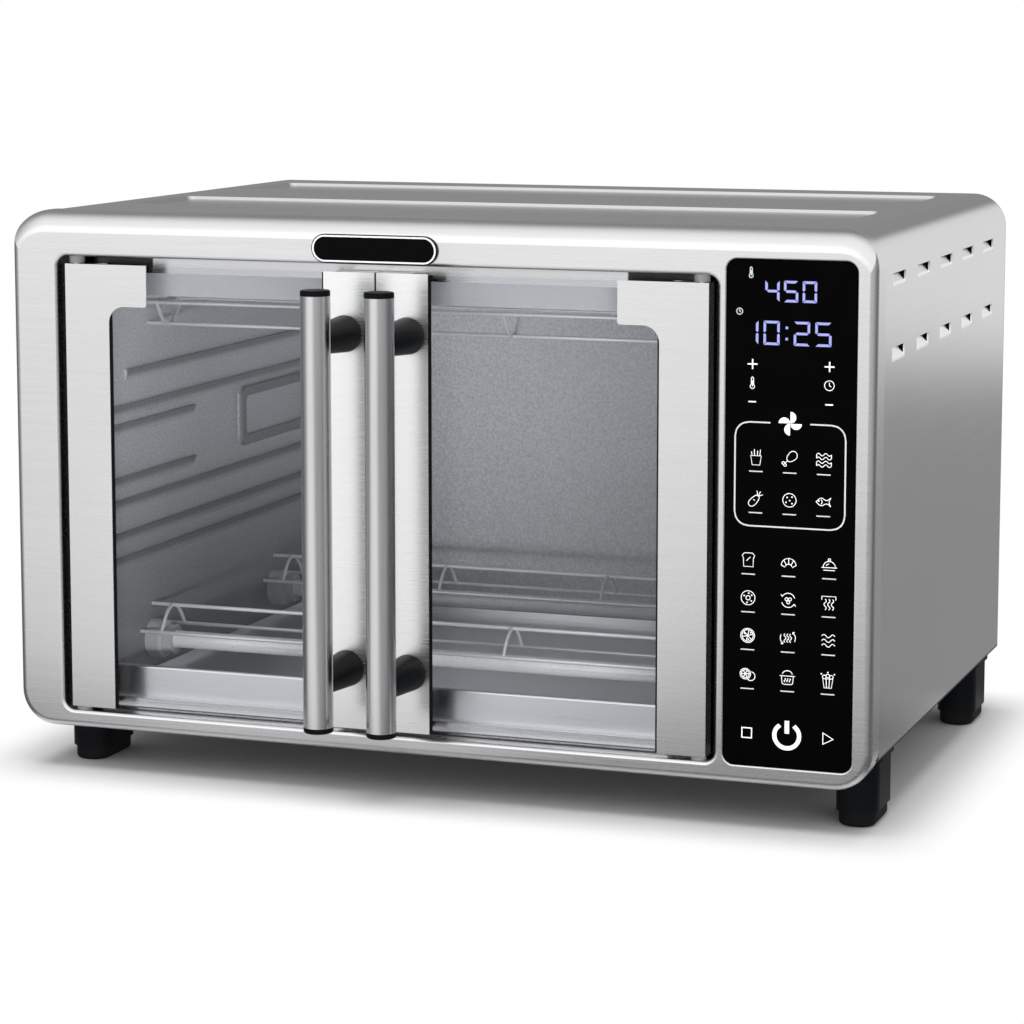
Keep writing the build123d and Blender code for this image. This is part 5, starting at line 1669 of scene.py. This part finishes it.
@dataclass(frozen=True)
class Lamp:
    """A soft rectangular lamp.

    Attributes:
        name: The lamp's name.
        place: Where it hangs.
        size: Its width and height.
        power: Its power in watts.
    """

    name: str
    place: tuple[float, float, float]
    size: tuple[float, float]
    power: float


@dataclass
class Studio:
    """Floor, surroundings, lamps and the camera.

    Attributes:
        floor_radius: Radius of the floor.
        floor_steps: Straight steps in its edge.
        dim: The least brightness that metal mirrors above the floor.
        low_fill: How bright the room lights the object at floor level.
        high_fill: The same from above.
        fill_rise: Between which heights, as shares of straight up, it grows.
        eye: Where the camera stands.
        turn: How far it is turned to the left, in degrees.
        dip: How far it looks down, in degrees.
        lens: Its focal length in millimetres.
        sensor: Its sensor's width in millimetres.
        rise: Its upward shift, in sensor widths.
        aim: What the lamps point at.
        lamps: The lamps.
    """

    floor_radius: float = 14.0
    floor_steps: int = 96
    dim: float = 0.28
    low_fill: float = 0.1
    high_fill: float = 0.6
    fill_rise: tuple[float, float] = (0.0, 0.6)
    eye: tuple[float, float, float] = (0.6066, -1.7044, 0.4261)
    turn: float = 19.70
    dip: float = 7.5
    lens: float = 111.24
    sensor: float = 36.0
    rise: float = -0.0880
    aim: tuple[float, float, float] = (0.0, 0.0, 0.15)
    lamps: tuple[Lamp, ...] = (
        Lamp("overhead", place=(-0.1, 0.0, 2.0), size=(2.0, 1.6), power=30.0),
        Lamp("front_left", place=(-0.7, -2.3, 0.08), size=(1.6, 0.12), power=13.0),
        Lamp("front_right", place=(1.5, -2.1, 0.08), size=(1.6, 0.12), power=41.0),
    )

    def build(self) -> None:
        """Set up everything round the object."""
        scene = bpy.context.scene
        scene.view_settings.view_transform = "Standard"
        self.floor()
        self.surroundings()
        for lamp in self.lamps:
            self.hang(lamp)
        scene.camera = self.camera()

    def floor(self) -> None:
        """A wide round floor under the object."""
        shape = bmesh.new()
        bmesh.ops.create_circle(shape, cap_ends=True, segments=self.floor_steps, radius=self.floor_radius)
        mesh = mesh_from(shape, "floor")
        mesh.materials.append(material_of(PaleFloor("pale_floor")))
        floor = bpy.data.objects.new("floor", mesh)
        bpy.context.scene.collection.objects.link(floor)

    def surroundings(self) -> None:
        """A room that looks white, mirrors as soft pale patches, and lights the object mostly from above."""
        world = bpy.data.worlds.new("studio")
        world.use_nodes = True
        graph = Graph(world.node_tree)
        heading = graph.node("ShaderNodeTexCoord", output="Generated")
        height = graph.along("Z", heading)
        fill = self.low_fill + (self.high_fill - self.low_fill) * height.between(*self.fill_rise)
        glows = (glow.seen(graph, heading) for glow in (WIDE_GLOW, FRONT_GLOW, REAR_GLOW, TOP_GLOW))
        mirrored = functools.reduce(Value.__add__, glows) + self.dim
        level = fill.towards(mirrored, Ray.GLOSSY.mask(graph))
        level = level.towards(1.0, Ray.CAMERA.mask(graph).above(Ray.TRANSMISSION.mask(graph)))
        inputs = {"Color": graph.tinted(WHITE, level), "Strength": 1.0}
        graph.end("ShaderNodeOutputWorld", graph.node("ShaderNodeBackground", inputs=inputs))
        bpy.context.scene.world = world

    def hang(self, lamp: Lamp) -> None:
        """Hang a lamp that points at the object, and that metal and glass don't mirror.

        Args:
            lamp: The lamp to hang.
        """
        light = bpy.data.lights.new(lamp.name, "AREA")
        light.shape = "RECTANGLE"
        light.size, light.size_y = lamp.size
        light.energy = lamp.power
        holder = bpy.data.objects.new(lamp.name, light)
        holder.visible_glossy = False
        holder.location = lamp.place
        holder.rotation_euler = (Vector(self.aim) - Vector(lamp.place)).to_track_quat("-Z", "Y").to_euler()
        bpy.context.scene.collection.objects.link(holder)

    def camera(self) -> bpy.types.Object:
        """The camera at the photograph's angle."""
        data = bpy.data.cameras.new("camera")
        data.lens, data.sensor_width, data.shift_y = self.lens, self.sensor, self.rise
        camera = bpy.data.objects.new("camera", data)
        camera.location = self.eye
        camera.rotation_euler = (radians(90 - self.dip), 0, radians(self.turn))
        bpy.context.scene.collection.objects.link(camera)
        return camera


def main() -> None:
    """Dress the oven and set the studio."""
    logging.basicConfig(level=logging.INFO, format="%(name)s %(message)s")
    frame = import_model()
    for assembly in (Casing, DoorPair, Cavity, Workings, ControlPanel):
        assembly(frame["nodes"]).build()
    Studio().build()


if __name__ == "__main__":
    main()
